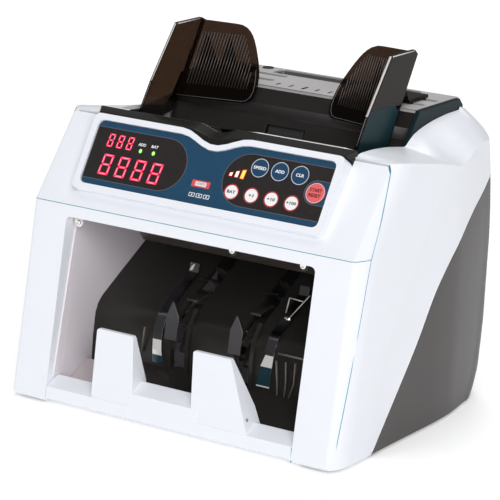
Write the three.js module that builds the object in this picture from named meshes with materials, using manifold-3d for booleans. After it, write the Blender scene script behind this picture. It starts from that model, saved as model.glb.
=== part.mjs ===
// Banknote counting machine, millimetres, +Z up, front towards -Y.
// Drawn with y = 0 at the front foot line; the whole group is then moved back by half its depth,
// so the origin lies under the middle of the machine.
import * as THREE from "three";
import { mergeVertices } from "three/addons/utils/BufferGeometryUtils.js";
import Module from "manifold-3d";

const wasm = await Module();
wasm.setup();

// ---------- driving dimensions ----------
const HALF_WIDTH = 130.4; // widest part of the side covers
const DEPTH = 230; // front foot line to rear wall
const WALL = 3; // moulded cover wall
const GAP = 0.5; // seam between covers
const FIT = 0.3; // gap between seated pieces
const FLOOR_CLEAR = 2; // covers stop this far above the table
const SEAM_Z = 135.3; // seam between the two front covers
const SHOULDER_Z = 191; // front edge of the shoulders
const OPENING_HALF = 98; // half width of the stacker window
const WINDOW_TOP = 127.5;
const HOPPER_HALF = 97; // half width of the hopper well in the covers
const PLATE_Z = 208; // top face of the silver plate
const PLATE_FRONT = 149;
const PLATE_BACK = 212;
const CHASSIS_INNER = 97; // inner face of the side plates, which are the pocket walls
const CHASSIS_THICK = 2;
const GUIDE_HALF = 86.4; // guides shown near their widest setting
const GUIDE_TOP = 247;
const RACK_PITCH = 4;
const PINION_TEETH = 10;
const PINION_Y = 175.5;
const PANEL_ORIGIN = [0, 27.9, 150.8]; // lower edge of the control panel
const PANEL_TILT = (59.5 * Math.PI) / 180; // rise of the panel above horizontal
const PANEL_HALF = 92.9;
const PANEL_HEIGHT = 44.7;
const WHEEL_X = 25.7; // stacker wheels, each side of the middle
const WHEEL_R = 41;
const WHEEL_AXIS = [99.5, 47.5];
const FEED_AXIS = [128, 158];
const PICKUP_AXIS = [98, 164];
const RETARD_AXIS = [146, 176];
const EXIT_AXIS = [134, 112];
const MOTOR_AXIS = [182, 62];
const PULLEY_X = [104, 110];
const GEAR_X = [100.2, 103];
const EXIT_TEETH = 26; // gear on the exit roller, in mesh with the feed gear
const FEED_TEETH = 20;
const EXIT_PULLEY_R = 12;
const STACKER_PULLEY_R = 15;
const MOTOR_PULLEY_R = 9;

// ---------- materials ----------
const finish = (color, roughness, metalness = 0) =>
  new THREE.MeshStandardMaterial({ color, roughness, metalness });
const WHITE = finish(0xf0f2f8, 0.35);
const WARM_GREY = finish(0x4c4846, 0.45);
const BLACK = finish(0x1c1b1a, 0.4);
const SMOKE = finish(0x2c2019, 0.2);
const SILVER = finish(0xdcd9d6, 0.4, 0.6);
const STEEL = finish(0xc4c6c8, 0.25, 1);
const WALL_GREY = finish(0xb9b1b2, 0.55);
const BLUE = finish(0x1b4a70, 0.35);
const NAVY = finish(0x1a3c5e, 0.4);
const KEY_WHITE = finish(0xf4f2f2, 0.4);
const KEY_RED = finish(0xe2575a, 0.4);
const TINT = finish(0x2a2626, 0.15);
const RUBBER = finish(0x2b2b2c, 0.85);
const BOARD = finish(0x1f5a3a, 0.6);

// ---------- solids ----------
const machine = new THREE.Group();
machine.position.set(0, -DEPTH / 2, 0);

function solid(geometry) {
  const bare = geometry.index ? geometry.toNonIndexed() : geometry.clone();
  bare.deleteAttribute("normal");
  bare.deleteAttribute("uv");
  const merged = mergeVertices(bare, 1e-4);
  const mesh = new wasm.Mesh({
    numProp: 3,
    vertProperties: new Float32Array(merged.attributes.position.array),
    triVerts: new Uint32Array(merged.index.array),
  });
  return new wasm.Manifold(mesh);
}

function geometryOf(body) {
  const mesh = body.getMesh();
  const geometry = new THREE.BufferGeometry();
  geometry.setAttribute("position", new THREE.BufferAttribute(mesh.vertProperties, 3));
  geometry.setIndex(new THREE.BufferAttribute(mesh.triVerts, 1));
  geometry.computeVertexNormals();
  return geometry;
}

function add(name, body, material, parent = machine) {
  const mesh = new THREE.Mesh(geometryOf(body), material);
  mesh.name = name;
  parent.add(mesh);
  return mesh;
}

const fuse = (...bodies) => bodies.reduce((sum, body) => sum.add(body));
const cut = (body, ...tools) => tools.reduce((rest, tool) => rest.subtract(tool), body);

function extruded(outline, depth, holes = []) {
  const shape = new THREE.Shape(outline.map(([a, b]) => new THREE.Vector2(a, b)));
  for (const hole of holes) {
    shape.holes.push(new THREE.Path(hole.map(([a, b]) => new THREE.Vector2(a, b))));
  }
  return new THREE.ExtrudeGeometry(shape, { depth, bevelEnabled: false });
}

// an outline in the YZ plane, run from x0 to x1
function alongX(outline, x0, x1, holes = []) {
  const turn = new THREE.Matrix4().makeBasis(
    new THREE.Vector3(0, 1, 0),
    new THREE.Vector3(0, 0, 1),
    new THREE.Vector3(1, 0, 0),
  );
  return solid(extruded(outline, x1 - x0, holes).applyMatrix4(turn).translate(x0, 0, 0));
}

// an outline in the XZ plane, run from y0 to y1
function alongY(outline, y0, y1, holes = []) {
  const geometry = extruded(outline, y1 - y0, holes).rotateX(Math.PI / 2);
  return solid(geometry.translate(0, y1, 0));
}

// an outline in the XY plane, run from z0 to z1
function alongZ(outline, z0, z1, holes = []) {
  return solid(extruded(outline, z1 - z0, holes).translate(0, 0, z0));
}

function block(x0, x1, y0, y1, z0, z1) {
  const geometry = new THREE.BoxGeometry(x1 - x0, y1 - y0, z1 - z0);
  return solid(geometry.translate((x0 + x1) / 2, (y0 + y1) / 2, (z0 + z1) / 2));
}

function circle(cx, cy, radius, steps = 24) {
  return Array.from({ length: steps }, (_, i) => {
    const angle = (2 * Math.PI * i) / steps;
    return [cx + radius * Math.cos(angle), cy + radius * Math.sin(angle)];
  });
}

const rodX = ([y, z], radius, x0, x1, steps = 24) => alongX(circle(y, z, radius, steps), x0, x1);

function roundedRect(x0, x1, y0, y1, radius, steps = 4) {
  const corners = [
    [x1 - radius, y1 - radius, 0],
    [x0 + radius, y1 - radius, 1],
    [x0 + radius, y0 + radius, 2],
    [x1 - radius, y0 + radius, 3],
  ];
  return corners.flatMap(([cx, cy, quarter]) =>
    Array.from({ length: steps + 1 }, (_, i) => {
      const angle = (Math.PI / 2) * (quarter + i / steps);
      return [cx + radius * Math.cos(angle), cy + radius * Math.sin(angle)];
    }),
  );
}

// value on a broken line through [position, value] points
function along(points, at) {
  const [first, last] = [points[0], points[points.length - 1]];
  if (at <= first[0]) return first[1];
  for (let i = 1; i < points.length; i++) {
    const [a, b] = [points[i - 1], points[i]];
    if (at <= b[0]) return a[1] + ((b[1] - a[1]) * (at - a[0])) / (b[0] - a[0]);
  }
  return last[1];
}

// closed skin through rings that have the same number of points; `across` is the axis they are spread along
function loft(sections, across) {
  const level = (axis) => sections[0].every((p) => p[axis] === sections[0][0][axis]);
  const drop = across ?? [0, 1, 2].find(level);
  const flatten = (ring) => ring.map((p) => new THREE.Vector2(...p.filter((_, axis) => axis !== drop)));
  const turned = THREE.ShapeUtils.isClockWise(flatten(sections[0]));
  const rings = turned ? sections.map((ring) => [...ring].reverse()) : sections;
  const count = rings[0].length;
  const index = [];
  for (let r = 0; r + 1 < rings.length; r++) {
    for (let i = 0; i < count; i++) {
      const a = r * count + i;
      const b = r * count + ((i + 1) % count);
      index.push(a, b, b + count, a, b + count, a + count);
    }
  }
  const top = (rings.length - 1) * count;
  const capOf = (ring) => THREE.ShapeUtils.triangulateShape(flatten(ring), []);
  for (const [a, b, c] of capOf(rings[0])) index.push(a, c, b);
  for (const [a, b, c] of capOf(rings[rings.length - 1])) index.push(top + a, top + b, top + c);
  const geometry = new THREE.BufferGeometry();
  geometry.setAttribute("position", new THREE.Float32BufferAttribute(rings.flat(2), 3));
  geometry.setIndex(index);
  const body = solid(geometry);
  return body.volume() < 0 ? solid(flipped(geometry)) : body;
}

function flipped(geometry) {
  const list = Array.from(geometry.index.array);
  for (let i = 0; i < list.length; i += 3) [list[i + 1], list[i + 2]] = [list[i + 2], list[i + 1]];
  geometry.setIndex(list);
  return geometry;
}

// ---------- outer form of the body ----------
const FRONT_LINE = [[0, 5], [4.5, 0], [12.7, 1.5], [SEAM_Z, 21.8], [190.8, 64.5], [215, 83]];
const REAR_LINE = [
  [0, 216], [8, 223], [20, 228], [55, DEPTH], [108, DEPTH],
  [147, 226], [175, 219], [190, 214], [215, 206],
];
const SIDE_LINE = [[0, HALF_WIDTH], [125, HALF_WIDTH], [150, 129.4], [175, 126], [200, 121.4], [216, 118]];
const CORNER_LINE = [[0, 36], [20, 27], [55, 19], [108, 16], [215, 16]]; // rear corner radius by height

// plan outline at height z, its walls moved in by `inset`
function planAt(z, inset) {
  const front = along(FRONT_LINE, z) + inset;
  const rear = along(REAR_LINE, z) - inset;
  const right = [
    [122.5, 0], [125.2, 1], [126.6, 3.4], [129.2, 9], [HALF_WIDTH, 17],
  ].map(([x, back]) => [x - inset, front + back]);
  for (const y of [125, 150, 175]) right.push([along(SIDE_LINE, y) - inset, y]);
  const corner = along(CORNER_LINE, z);
  const radius = corner - inset;
  const centreY = rear - radius;
  const centreX = along(SIDE_LINE, centreY) - corner;
  for (let i = 0; i <= 4; i++) {
    const angle = (Math.PI / 2) * (i / 4);
    right.push([centreX + radius * Math.cos(angle), centreY + radius * Math.sin(angle)]);
  }
  const left = right.map(([x, y]) => [-x, y]).reverse();
  return [...right, ...left].map(([x, y]) => [x, y, z]);
}

const LEVELS = [4.5, 8, 12.7, 20, 55, 108, SEAM_Z, 147, 175, 190.8, 215];

function bodyForm(inset, bottom) {
  return loft([bottom, ...LEVELS.filter((z) => z > bottom + 1)].map((z) => planAt(z, inset)));
}

// shoulders: height of the top surface beside the hopper well and at the widest line of the sides
const WELL_EDGE = [
  [0, SHOULDER_Z], [65, SHOULDER_Z], [72, 192.7], [82, 192.6], [98, 191.6], [107, 190.6],
  [118, 188.9], [130, 187.2], [134, 189.6], [141, 193.4], [153, 196.6], [171, 199.2],
  [190, 200.4], [206, 200.5], [236, 199],
];
const OUTER_EDGE = [
  [0, SHOULDER_Z], [65, SHOULDER_Z], [100, 186], [131, 180], [156, 174.4],
  [168, 177.4], [178, 178.4], [190, 178.3], [201, 176], [212, 171.8], [236, 162],
];

function aboveShoulders(drop) {
  const stations = [
    -20, 40, 65, 72, 82, 98, 107, 118, 130, 134, 141, 149, 156, 162, 168, 178, 190, 201, 212, 245,
  ];
  return loft(
    stations.map((y) => {
      const inner = along(WELL_EDGE, y) - drop;
      const outer = along(OUTER_EDGE, y) - drop;
      const far = inner + ((outer - inner) * (150 - HOPPER_HALF)) / (HALF_WIDTH - HOPPER_HALF);
      const right = [[HOPPER_HALF, inner], [150, far], [150, 260]];
      const left = [[-150, 260], [-150, far], [-HOPPER_HALF, inner]];
      return [...right, ...left].map(([x, z]) => [x, y, z]);
    }),
  );
}

const OUTER = cut(bodyForm(0, FLOOR_CLEAR), aboveShoulders(0));
const CAVITY = cut(bodyForm(WALL, -5), aboveShoulders(WALL));
const SHELL = cut(OUTER, CAVITY, block(-200, 200, -50, 300, -20, FLOOR_CLEAR));

// seam beside the front covers, in the YZ plane
const SIDE_SEAM = [[3, 0], [35, SEAM_Z], [64.5, SHOULDER_Z], [64.5, 260]];
const inFront = (shift) =>
  alongX([[-60, -10], ...SIDE_SEAM.map(([y, z], i) => [y + shift, i ? z : -10]), [-60, 260]], -200, 200);
// line between the white side covers and the dark rear cover
const REAR_SEAM = [
  [42, -10], [47, 0], [75, 32], [101, 63], [116, 83], [127, 98],
  [140, 110], [157, 123], [168, 131], [180, 138], [206, 146], [245, 150],
];
const belowRearSeam = (shift) =>
  alongX([...REAR_SEAM.map(([y, z]) => [y + shift, z - shift]), [260, -10]], -200, 200);

// ---------- covers ----------
function sideCover(name, sign) {
  const [near, far] = sign > 0 ? [HOPPER_HALF, 200] : [-200, -HOPPER_HALF];
  const half = block(near, far, -50, 300, -20, 300);
  const rim = GAP / 2;
  add(name, cut(SHELL.intersect(half), inFront(rim), belowRearSeam(-rim), lipForm(0.4)), WHITE);
}

// finger dip in the upper edge of the bezel and the lip, measured from the panel's lower edge
function dip(x, depth) {
  const reach = 27;
  return Math.abs(x) < reach ? (depth * (1 + Math.cos((Math.PI * x) / reach))) / 2 : 0;
}
const DIP_X = [-27, -21, -15, -9, -3, 3, 9, 15, 21, 27];

const panelGroup = new THREE.Group();
panelGroup.position.set(...PANEL_ORIGIN);
panelGroup.rotation.x = PANEL_TILT;
machine.add(panelGroup);
panelGroup.updateMatrix();
const onPanel = (body) => {
  const geometry = geometryOf(body).applyMatrix4(panelGroup.matrix);
  return solid(geometry);
};

// the outline of a face of the panel, its upper edge dipped in the middle
function panelOutline(half, low, high, depth, radius) {
  const rect = roundedRect(-half, half, low, high, radius, 3);
  const dips = DIP_X.map((x) => [x, high - dip(x, depth)]).reverse();
  return [...rect.slice(0, 4), ...dips, ...rect.slice(4)];
}

// lip over the bezel, dipped in the middle for the fingers; grown, it is the clearance cut in the covers
const LIP_LOW = 49.6; // front edge of the lip, up the panel
const LIP_DIP_X = [-23, -19, -15, -11, -7, -3, 1, 5, 9];
function lipDip(x) {
  const [middle, reach] = [-7, 16];
  return Math.abs(x - middle) < reach ? 2 * (1 + Math.cos((Math.PI * (x - middle)) / reach)) : 0;
}

function lipForm(grow) {
  const [, y0, z0] = PANEL_ORIGIN;
  const [rise, run] = [Math.sin(PANEL_TILT), Math.cos(PANEL_TILT)];
  const places = [-96.4 - grow, ...new Set([...DIP_X, ...LIP_DIP_X]), 97.3 + grow].sort((a, b) => a - b);
  return loft(
    places.map((x, i) => {
      const low = LIP_LOW - grow - dip(x, 8.2);
      const [fy, fz] = [y0 + run * low + 0.2 - grow, z0 + rise * low];
      const back = (60.9 - grow - fy) / rise;
      const top = lipDip(x);
      const slant = i === 0 ? 0.6 : 0; // the left end runs outwards to the rear
      return [
        [fy, fz],
        [fy + 1.4, fz + (195.4 - fz) * 0.45 + grow],
        [66, 195.4 - top + grow],
        [68 + grow, 194 - top + grow],
        [68 + grow, 176 - grow],
        [60.9 - grow, 176 - grow],
        [60.9 - grow, fz - run * back],
      ].map(([y, z]) => [x - slant * Math.max(0, y - fy), y, z]);
    }),
    0,
  );
}

function frontUpperCover() {
  const zone = cut(inFront(-GAP / 2), block(-200, 200, -100, 100, -50, SEAM_Z + GAP / 2));
  const bezel = onPanel(alongZ(panelOutline(98, -5, 49.3, 8.1, 4), -14, 1.2)).intersect(
    alongX([[-20, 120], [40, 120], [70, 191], [57, 198], [-20, 198]], -150, 150),
  );
  const rim = panelOutline(PANEL_HALF + 0.4, -0.4, PANEL_HEIGHT + 0.4, 7.8, 4);
  const recess = onPanel(alongZ(rim, -1.3, 20));
  const hollow = onPanel(
    fuse(
      alongZ(roundedRect(-89, -14, 3, 38, 3, 2), -40, 5),
      alongZ(roundedRect(14, 92.3, 3, 39.9, 3, 2), -40, 5),
      alongZ(roundedRect(-92, 92, 0.5, 36, 3, 2), -40, -3.6),
    ),
  );
  const edge = HOPPER_HALF + FIT;
  const back = block(-edge, edge, 60.5, 200, 150, 260);
  const cover = fuse(SHELL.intersect(zone), bezel.intersect(zone));
  add("front_upper_cover", cut(cover, recess, hollow, back, lipForm(0.4)), WHITE);
}

function frontLowerFrame() {
  const zone = cut(inFront(-GAP / 2), block(-200, 200, -100, 100, SEAM_Z - GAP / 2, 300));
  const opening = alongY(roundedRect(-OPENING_HALF, OPENING_HALF, -10, WINDOW_TOP, 3.5, 3), -50, 60);
  const high = SEAM_Z - 1;
  const section = [[0.4, FLOOR_CLEAR], [1.5, 12.7], [21.8, high], [33, high], [14, FLOOR_CLEAR]];
  const reach = OPENING_HALF + 4;
  const corner = block(-reach, reach, 20, 60, 129.6, 140);
  const reveal = cut(alongX(section, -reach, reach), opening, corner);
  const body = fuse(cut(SHELL, opening).intersect(zone), reveal.intersect(OUTER));
  add("front_lower_frame", body, WHITE);
}

// ---------- stacker tray with its two prongs ----------
function stackerTray() {
  const low = [[6, 2], [0.6, 4.5], [1.5, 12.7], [14, 18], [17, 17], [17, 2]];
  const high = [[6, 2], [0.6, 4.5], [2.9, 21.3], [15, 27], [18, 26], [18, 2]];
  const side = [[6, 2], [0.6, 4.5], [8.9, 58.7], [12, 58.7], [20, 27], [20, 2]];
  const prongs = [
    [[-55.6, 2], [-61, 15], [-62, 57.5], [-61, 58.7], [-33.4, 58.7], [-32.4, 57.5], [-28, 18], [-25.7, 2]],
    [[18.5, 2], [19, 15], [15.4, 57.5], [16.4, 58.7], [43.9, 58.7], [44.9, 57.5], [62.6, 14], [56, 2]],
  ].map((outline) => alongX(side, -70, 70).intersect(alongY(outline, -5, 40)));
  const edge = OPENING_HALF - FIT;
  const sills = [
    alongX(low, -edge, -30),
    alongX(high, -30, 24),
    alongX(low, 24, edge),
  ];
  const shelf = alongX([[16, 2], [16, 6], [30, 10], [30, 7.5], [20, 2]], -edge + 1.2, edge - 1.2);
  add("stacker_tray", fuse(...sills, ...prongs, shelf), WHITE);
}

function rearCover() {
  const zone = fuse(
    belowRearSeam(GAP / 2),
    alongX([[190, 120], [190, 250], [260, 250], [260, 120]], -HOPPER_HALF + GAP, HOPPER_HALF - GAP),
  );
  const well = block(-HOPPER_HALF, HOPPER_HALF, 100, 209.5, 150, 260);
  const rows = Array.from({ length: 7 }, (_, i) => block(-60, 20, 215, 240, 92 + 8 * i, 95.5 + 8 * i));
  const inlet = block(51.7, 82.3, 215, 240, 23.7, 50.3);
  const rocker = block(21.7, 38.3, 215, 240, 25.7, 48.3);
  add("rear_cover", cut(SHELL.intersect(zone), well, inlet, rocker, ...rows), WARM_GREY);
}

// ---------- base ----------
function baseAndFeet() {
  const pan = alongZ(roundedRect(-118, 118, 31.5, 205, 16, 4), 4, 6);
  const holes = [];
  for (const [side, x] of [["left", -98], ["right", 98]]) {
    for (const [end, y] of [["front", 46], ["rear", 190]]) {
      holes.push(alongZ(circle(x, y, 3.3, 16), 0, 10));
      const pad = fuse(alongZ(circle(x, y, 9), 0, 3.7), alongZ(circle(x, y, 3, 16), 3, 6));
      add("foot_" + end + "_" + side, pad, RUBBER);
    }
  }
  add("base_plate", cut(pan, ...holes), STEEL);
}

// ---------- chassis ----------
const BEARING = 3.7;
function chassisSide(name, sign) {
  const outline = [
    [17.6, 7], [17.6, 19], [19, 30], [32.8, 126], [33.6, 132], [62, 172], [66, 178],
    [134, 178], [140, 183.5], [198, 183.5], [207, 150], [207, 7],
  ];
  const axes = [WHEEL_AXIS, FEED_AXIS, PICKUP_AXIS, RETARD_AXIS, EXIT_AXIS];
  if (sign > 0) axes.push(MOTOR_AXIS);
  const holes = axes.map(([y, z]) => circle(y, z, BEARING, 16));
  const near = CHASSIS_INNER;
  const far = CHASSIS_INNER + CHASSIS_THICK;
  const foot = [[33, 6.3], [207, 6.3], [207, 8], [33, 8]];
  const flange = sign > 0 ? alongX(foot, near, 112) : alongX(foot, -112, -near);
  const plate = sign > 0 ? alongX(outline, near, far, holes) : alongX(outline, -far, -near, holes);
  add(name, fuse(plate, flange), WALL_GREY);
}

function pocketFloor() {
  const line = [[22, 11], [46.4, 22], [46.4, 20], [23, 9]];
  add("pocket_floor", alongX(line, -CHASSIS_INNER + FIT, CHASSIS_INNER - FIT), WALL_GREY);
}

// ---------- stacker guide: the black nose in front of the wheels ----------
const NOSE = [
  [118.5, 140], [118.5, 96], [82.8, 75.6], [62.2, 63.5], [57.5, 59],
  [54.6, 53], [52.4, 37.4], [51.6, 25], [51.6, 10],
];
const NOSE_BACK = [
  [54.1, 10], [54.1, 25], [54.9, 37.4], [57.1, 53], [59.4, 56.5],
  [64.1, 61], [84.1, 73.1], [121, 93.6], [121, 140],
];

function stackerGuide() {
  const plate = alongX([...NOSE, ...NOSE_BACK], -CHASSIS_INNER + FIT, CHASSIS_INNER - FIT);
  const slots = [-WHEEL_X, WHEEL_X].map((x) => block(x - 4.8, x + 6.5, 48, 117, 28, 104));
  const rib = [[61, 69], [52.5, 59], [50.4, 48], [50, 30], [50.4, 14], [55, 14], [55, 50], [63, 61.5]];
  const leafSide = [[52.6, 43], [54.6, 56], [57, 74], [59.4, 74], [60.6, 64], [60, 60], [56, 50], [54, 43]];
  const fins = [];
  for (const x of [-WHEEL_X, WHEEL_X]) {
    // a pointed leaf stands up beside the left face of each wheel
    const leafFront = [
      [x - 12.5, 43], [x - 12.5, 62], [x - 8.9, 72], [x - 8.3, 72], [x - 4.8, 62], [x - 4.8, 43],
    ];
    fins.push(
      alongX(leafSide, x - 12.5, x - 4.8).intersect(alongY(leafFront, 50, 64)),
      alongX(rib, x - 7.5, x - 4.8).intersect(block(x - 8, x, 40, 60, 10, 46)),
      alongX(rib, x + 6.5, x + 9.5),
    );
  }
  // apron that runs forward from the foot of the nose over the pocket floor
  const foot = [
    [24.5, 12.6], [46.5, 22.5], [51.4, 23.6], [53.4, 24],
    [53.4, 26.6], [51.6, 26.6], [46, 23.6], [24.2, 13.6],
  ];
  const apron = alongX(foot, -60, CHASSIS_INNER - FIT);
  const body = cut(fuse(plate, apron, ...fins), ...slots);
  add("stacker_guide", body, BLACK);
}

// spring strip that lies along the nose and ends in a tab bent up between the rollers
function noteDeflector(name, upper, lower) {
  const strip = [
    [49.6, 29.4], [49.9, 38], [52.9, 53.4], [56, 59.9], [61.1, 64.8], [82, 77], [93, 83.3], [95, 89.4],
    [95.9, 89.1], [94.2, 82.8], [82.5, 76.2], [61.8, 64.1], [57, 59.5], [53.9, 53.1], [50.9, 38],
    [50.5, 29.2],
  ];
  const outline = [
    [lower[0], 28], [upper[0], 50], [upper[0], 95], [upper[1], 95], [upper[1], 44], [lower[1], 28],
  ];
  add(name, alongX(strip, -60, 60).intersect(alongY(outline, 40, 110)), STEEL);
}

// curved fins on a hub
function stackerWheel(name, x, parent) {
  const fins = 14;
  const steps = 6;
  const hub = 17;
  const outline = [];
  for (let fin = 0; fin < fins; fin++) {
    const start = (2 * Math.PI * fin) / fins;
    const outer = [];
    const inner = [];
    for (let i = 0; i <= steps; i++) {
      const share = i / steps;
      const radius = hub + (WHEEL_R - hub) * share;
      const sweep = start + 1.15 * Math.pow(share, 0.8);
      const half = 0.85 / radius;
      outer.push([radius, sweep - half]);
      inner.push([radius, sweep + half]);
    }
    outline.push(...outer, ...inner.reverse());
  }
  const shape = outline.map(([r, a]) => [WHEEL_AXIS[0] + r * Math.cos(a), WHEEL_AXIS[1] + r * Math.sin(a)]);
  const bore = circle(...WHEEL_AXIS, 3 + FIT, 16);
  add(name, alongX(shape, x - 4, x + 4, [bore]), BLACK, parent);
}

// ---------- shafts, rollers and drive ----------
function shaft(name, axis, radius, x0, x1) {
  add(name, rodX(axis, radius, x0, x1, 16), STEEL);
}

function sleeve(name, axis, radius, bore, x0, x1, material, steps = 28) {
  add(name, alongX(circle(...axis, radius, steps), x0, x1, [circle(...axis, bore + FIT, 16)]), material);
}

// rubber rings moulded onto one shaft
function rollerShaft(name, axis, end, radius, spans, others = []) {
  const rings = spans.map(([x0, x1]) => rodX(axis, radius, x0, x1, 28));
  add(name, fuse(rodX(axis, 3, -end, end, 16), ...rings, ...others), RUBBER);
}

// gear outline; the first tooth points along `first`, in radians
function gearOutline([cy, cz], module, teeth, first) {
  const tooth = [[-0.95, -1.1], [-0.3, 0.85], [0.3, 0.85], [0.95, -1.1]];
  return Array.from({ length: teeth }, (_, i) => {
    const middle = first + (2 * Math.PI * i) / teeth;
    return tooth.map(([width, height]) => {
      const r = module * (teeth / 2 + height);
      const angle = middle + (width * module) / r;
      return [cy + r * Math.cos(angle), cz + r * Math.sin(angle)];
    });
  }).flat();
}

// the exit roller drives the feed shaft through a pair of gears, so the two turn opposite ways
function gearPair() {
  const [dy, dz] = [FEED_AXIS[0] - EXIT_AXIS[0], FEED_AXIS[1] - EXIT_AXIS[1]];
  const module = (2 * Math.hypot(dy, dz)) / (EXIT_TEETH + FEED_TEETH);
  const towards = Math.atan2(dz, dy);
  const half = Math.PI / FEED_TEETH;
  return {
    exit: alongX(gearOutline(EXIT_AXIS, module, EXIT_TEETH, towards), ...GEAR_X),
    feed: alongX(gearOutline(FEED_AXIS, module, FEED_TEETH, towards + Math.PI + half), ...GEAR_X, [
      circle(...FEED_AXIS, 3 + FIT, 16),
    ]),
  };
}

function feedTrain() {
  const end = CHASSIS_INNER + CHASSIS_THICK + 1;
  const gears = gearPair();
  shaft("feed_shaft", FEED_AXIS, 3, -end, GEAR_X[1] + 1);
  sleeve("feed_roller_left", FEED_AXIS, 13, 3, -36, -16, RUBBER);
  sleeve("feed_roller_right", FEED_AXIS, 13, 3, 16, 36, RUBBER);
  add("feed_gear", gears.feed, BLACK);
  rollerShaft("pickup_roller", PICKUP_AXIS, end, 13, [[-36, -16], [16, 36]]);
  rollerShaft("retard_roller", RETARD_AXIS, end, 11, [[-14, 14]]);
  const exitEnd = rodX(EXIT_AXIS, 3, 90, PULLEY_X[1] + 1, 16);
  const exitPulley = rodX(EXIT_AXIS, EXIT_PULLEY_R, ...PULLEY_X, 28);
  rollerShaft("exit_roller", EXIT_AXIS, end, 10, [[-50, -38], [38, 50]], [exitEnd, exitPulley, gears.exit]);
  shaft("stacker_shaft", WHEEL_AXIS, 3, -end, PULLEY_X[1] + 1);
  stackerWheel("stacker_wheel_left", -WHEEL_X);
  stackerWheel("stacker_wheel_right", WHEEL_X);
  sleeve("stacker_pulley", WHEEL_AXIS, STACKER_PULLEY_R, 3, ...PULLEY_X, BLACK);
}

// loop round three pulleys: the hull of their rims, as a band
function hull(points) {
  const sorted = [...points].sort((a, b) => a[0] - b[0] || a[1] - b[1]);
  const turn = (o, a, b) => (a[0] - o[0]) * (b[1] - o[1]) - (a[1] - o[1]) * (b[0] - o[0]);
  const chain = (list) => {
    const kept = [];
    for (const p of list) {
      while (kept.length > 1 && turn(kept[kept.length - 2], kept[kept.length - 1], p) <= 0) kept.pop();
      kept.push(p);
    }
    kept.pop();
    return kept;
  };
  return [...chain(sorted), ...chain(sorted.reverse())];
}

function motorAndBelt() {
  const [y, z] = MOTOR_AXIS;
  const can = fuse(rodX(MOTOR_AXIS, 20, 34, 90, 32), block(88, 96.6, y - 16, y + 16, z - 16, z + 16));
  add("main_motor", cut(can, rodX(MOTOR_AXIS, 3.4, 80, 100, 16)), STEEL);
  const spindle = rodX(MOTOR_AXIS, 2.9, 81, PULLEY_X[1] + 1, 16);
  add("motor_pulley", fuse(spindle, rodX(MOTOR_AXIS, MOTOR_PULLEY_R, ...PULLEY_X, 20)), STEEL);
  const rim = (extra) =>
    hull([
      ...circle(...MOTOR_AXIS, MOTOR_PULLEY_R + extra, 28),
      ...circle(...EXIT_AXIS, EXIT_PULLEY_R + extra, 28),
      ...circle(...WHEEL_AXIS, STACKER_PULLEY_R + extra, 28),
    ]);
  add("drive_belt", alongX(rim(2), PULLEY_X[0] + 1, PULLEY_X[1] - 1, [rim(0.4)]), RUBBER);
}

// ---------- hopper ----------
function hopperTray() {
  const edge = HOPPER_HALF - GAP - 3.7;
  const section = [
    [66, 177], [66, 188.2], [72, 187.2], [100, 177.4], [116, 171.6],
    [115, 168.8], [99, 174.4], [74, 182.4], [70, 177],
  ];
  const floor = alongX(section, -edge, edge);
  const pockets = [-26, 26].map((x) => block(x - 11, x + 11, 82, 118, 160, 190));
  const ends = [-1, 1].map((side) => {
    const [a, b] = [side * 96.5, side * 110].sort((p, q) => p - q);
    return block(a, b, 40, 80, 160, 182);
  });
  add("hopper_tray", cut(fuse(floor, lipForm(0)), ...pockets, ...ends), BLACK);
}

function hopperBackWall() {
  const edge = HOPPER_HALF - GAP;
  const [top, under] = [PLATE_Z - 2.6, PLATE_Z - 5.2];
  const face = [
    [PLATE_FRONT - 0.5, top], [139.5, 190], [132.5, 177], [135, 176],
    [142, 189], [152, under], [163, under], [163, top],
  ];
  const gate = block(-15.5, 15.5, 120, 160, 160, 184);
  const roller = rodX(RETARD_AXIS, 12, -15.5, 15.5);
  add("hopper_back_wall", cut(alongX(face, -edge + 3.5, edge - 3.5), gate, roller), BLACK);
}

function hopperEnd(name, sign) {
  const outline = [[131, 184.5], [148.5, PLATE_Z], [204, PLATE_Z], [209, 203], [209, 196], [131, 181.5]];
  const [near, far] = [HOPPER_HALF - 3.7, HOPPER_HALF - GAP];
  const [a, b] = sign > 0 ? [near, far] : [-far, -near];
  const well = [[131, 181.5], [131, 184.5], [70, 188.2], [70, 184.4], [100, 180]];
  add(name, fuse(alongX(outline, a, b), alongX(well, a, b)), BLACK);
}

const SLOT_Y = [[164, 170], [181, 187]];
const HANDLE_WELL = roundedRect(-47, 67, 190.5, 205.5, 3, 3);
const SCREW_AT = [-57.5, 202.6];
function topPlate() {
  const half = HOPPER_HALF - 4;
  const [front, back, top] = [PLATE_FRONT, PLATE_BACK, PLATE_Z];
  const section = [
    [front, top - 2.2], [front, top - 0.6], [front + 0.6, top], [back - 4, top],
    [back - 1, top - 3], [back - 3, top - 4.4], [back - 5, top - 2.2],
  ];
  const slots = [];
  for (const side of [-1, 1]) {
    for (const [y0, y1] of SLOT_Y) {
      const [a, b] = [side * 30, side * 90].sort((p, q) => p - q);
      slots.push(alongZ(roundedRect(a, b, y0, y1, 2, 2), 190, 220));
    }
  }
  const handleWell = alongZ(HANDLE_WELL, 190, 220);
  const screwHole = alongZ(circle(...SCREW_AT, 4.4, 20), 190, 220);
  add("top_plate", cut(alongX(section, -half, half), ...slots, handleWell, screwHole), SILVER);
}

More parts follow.
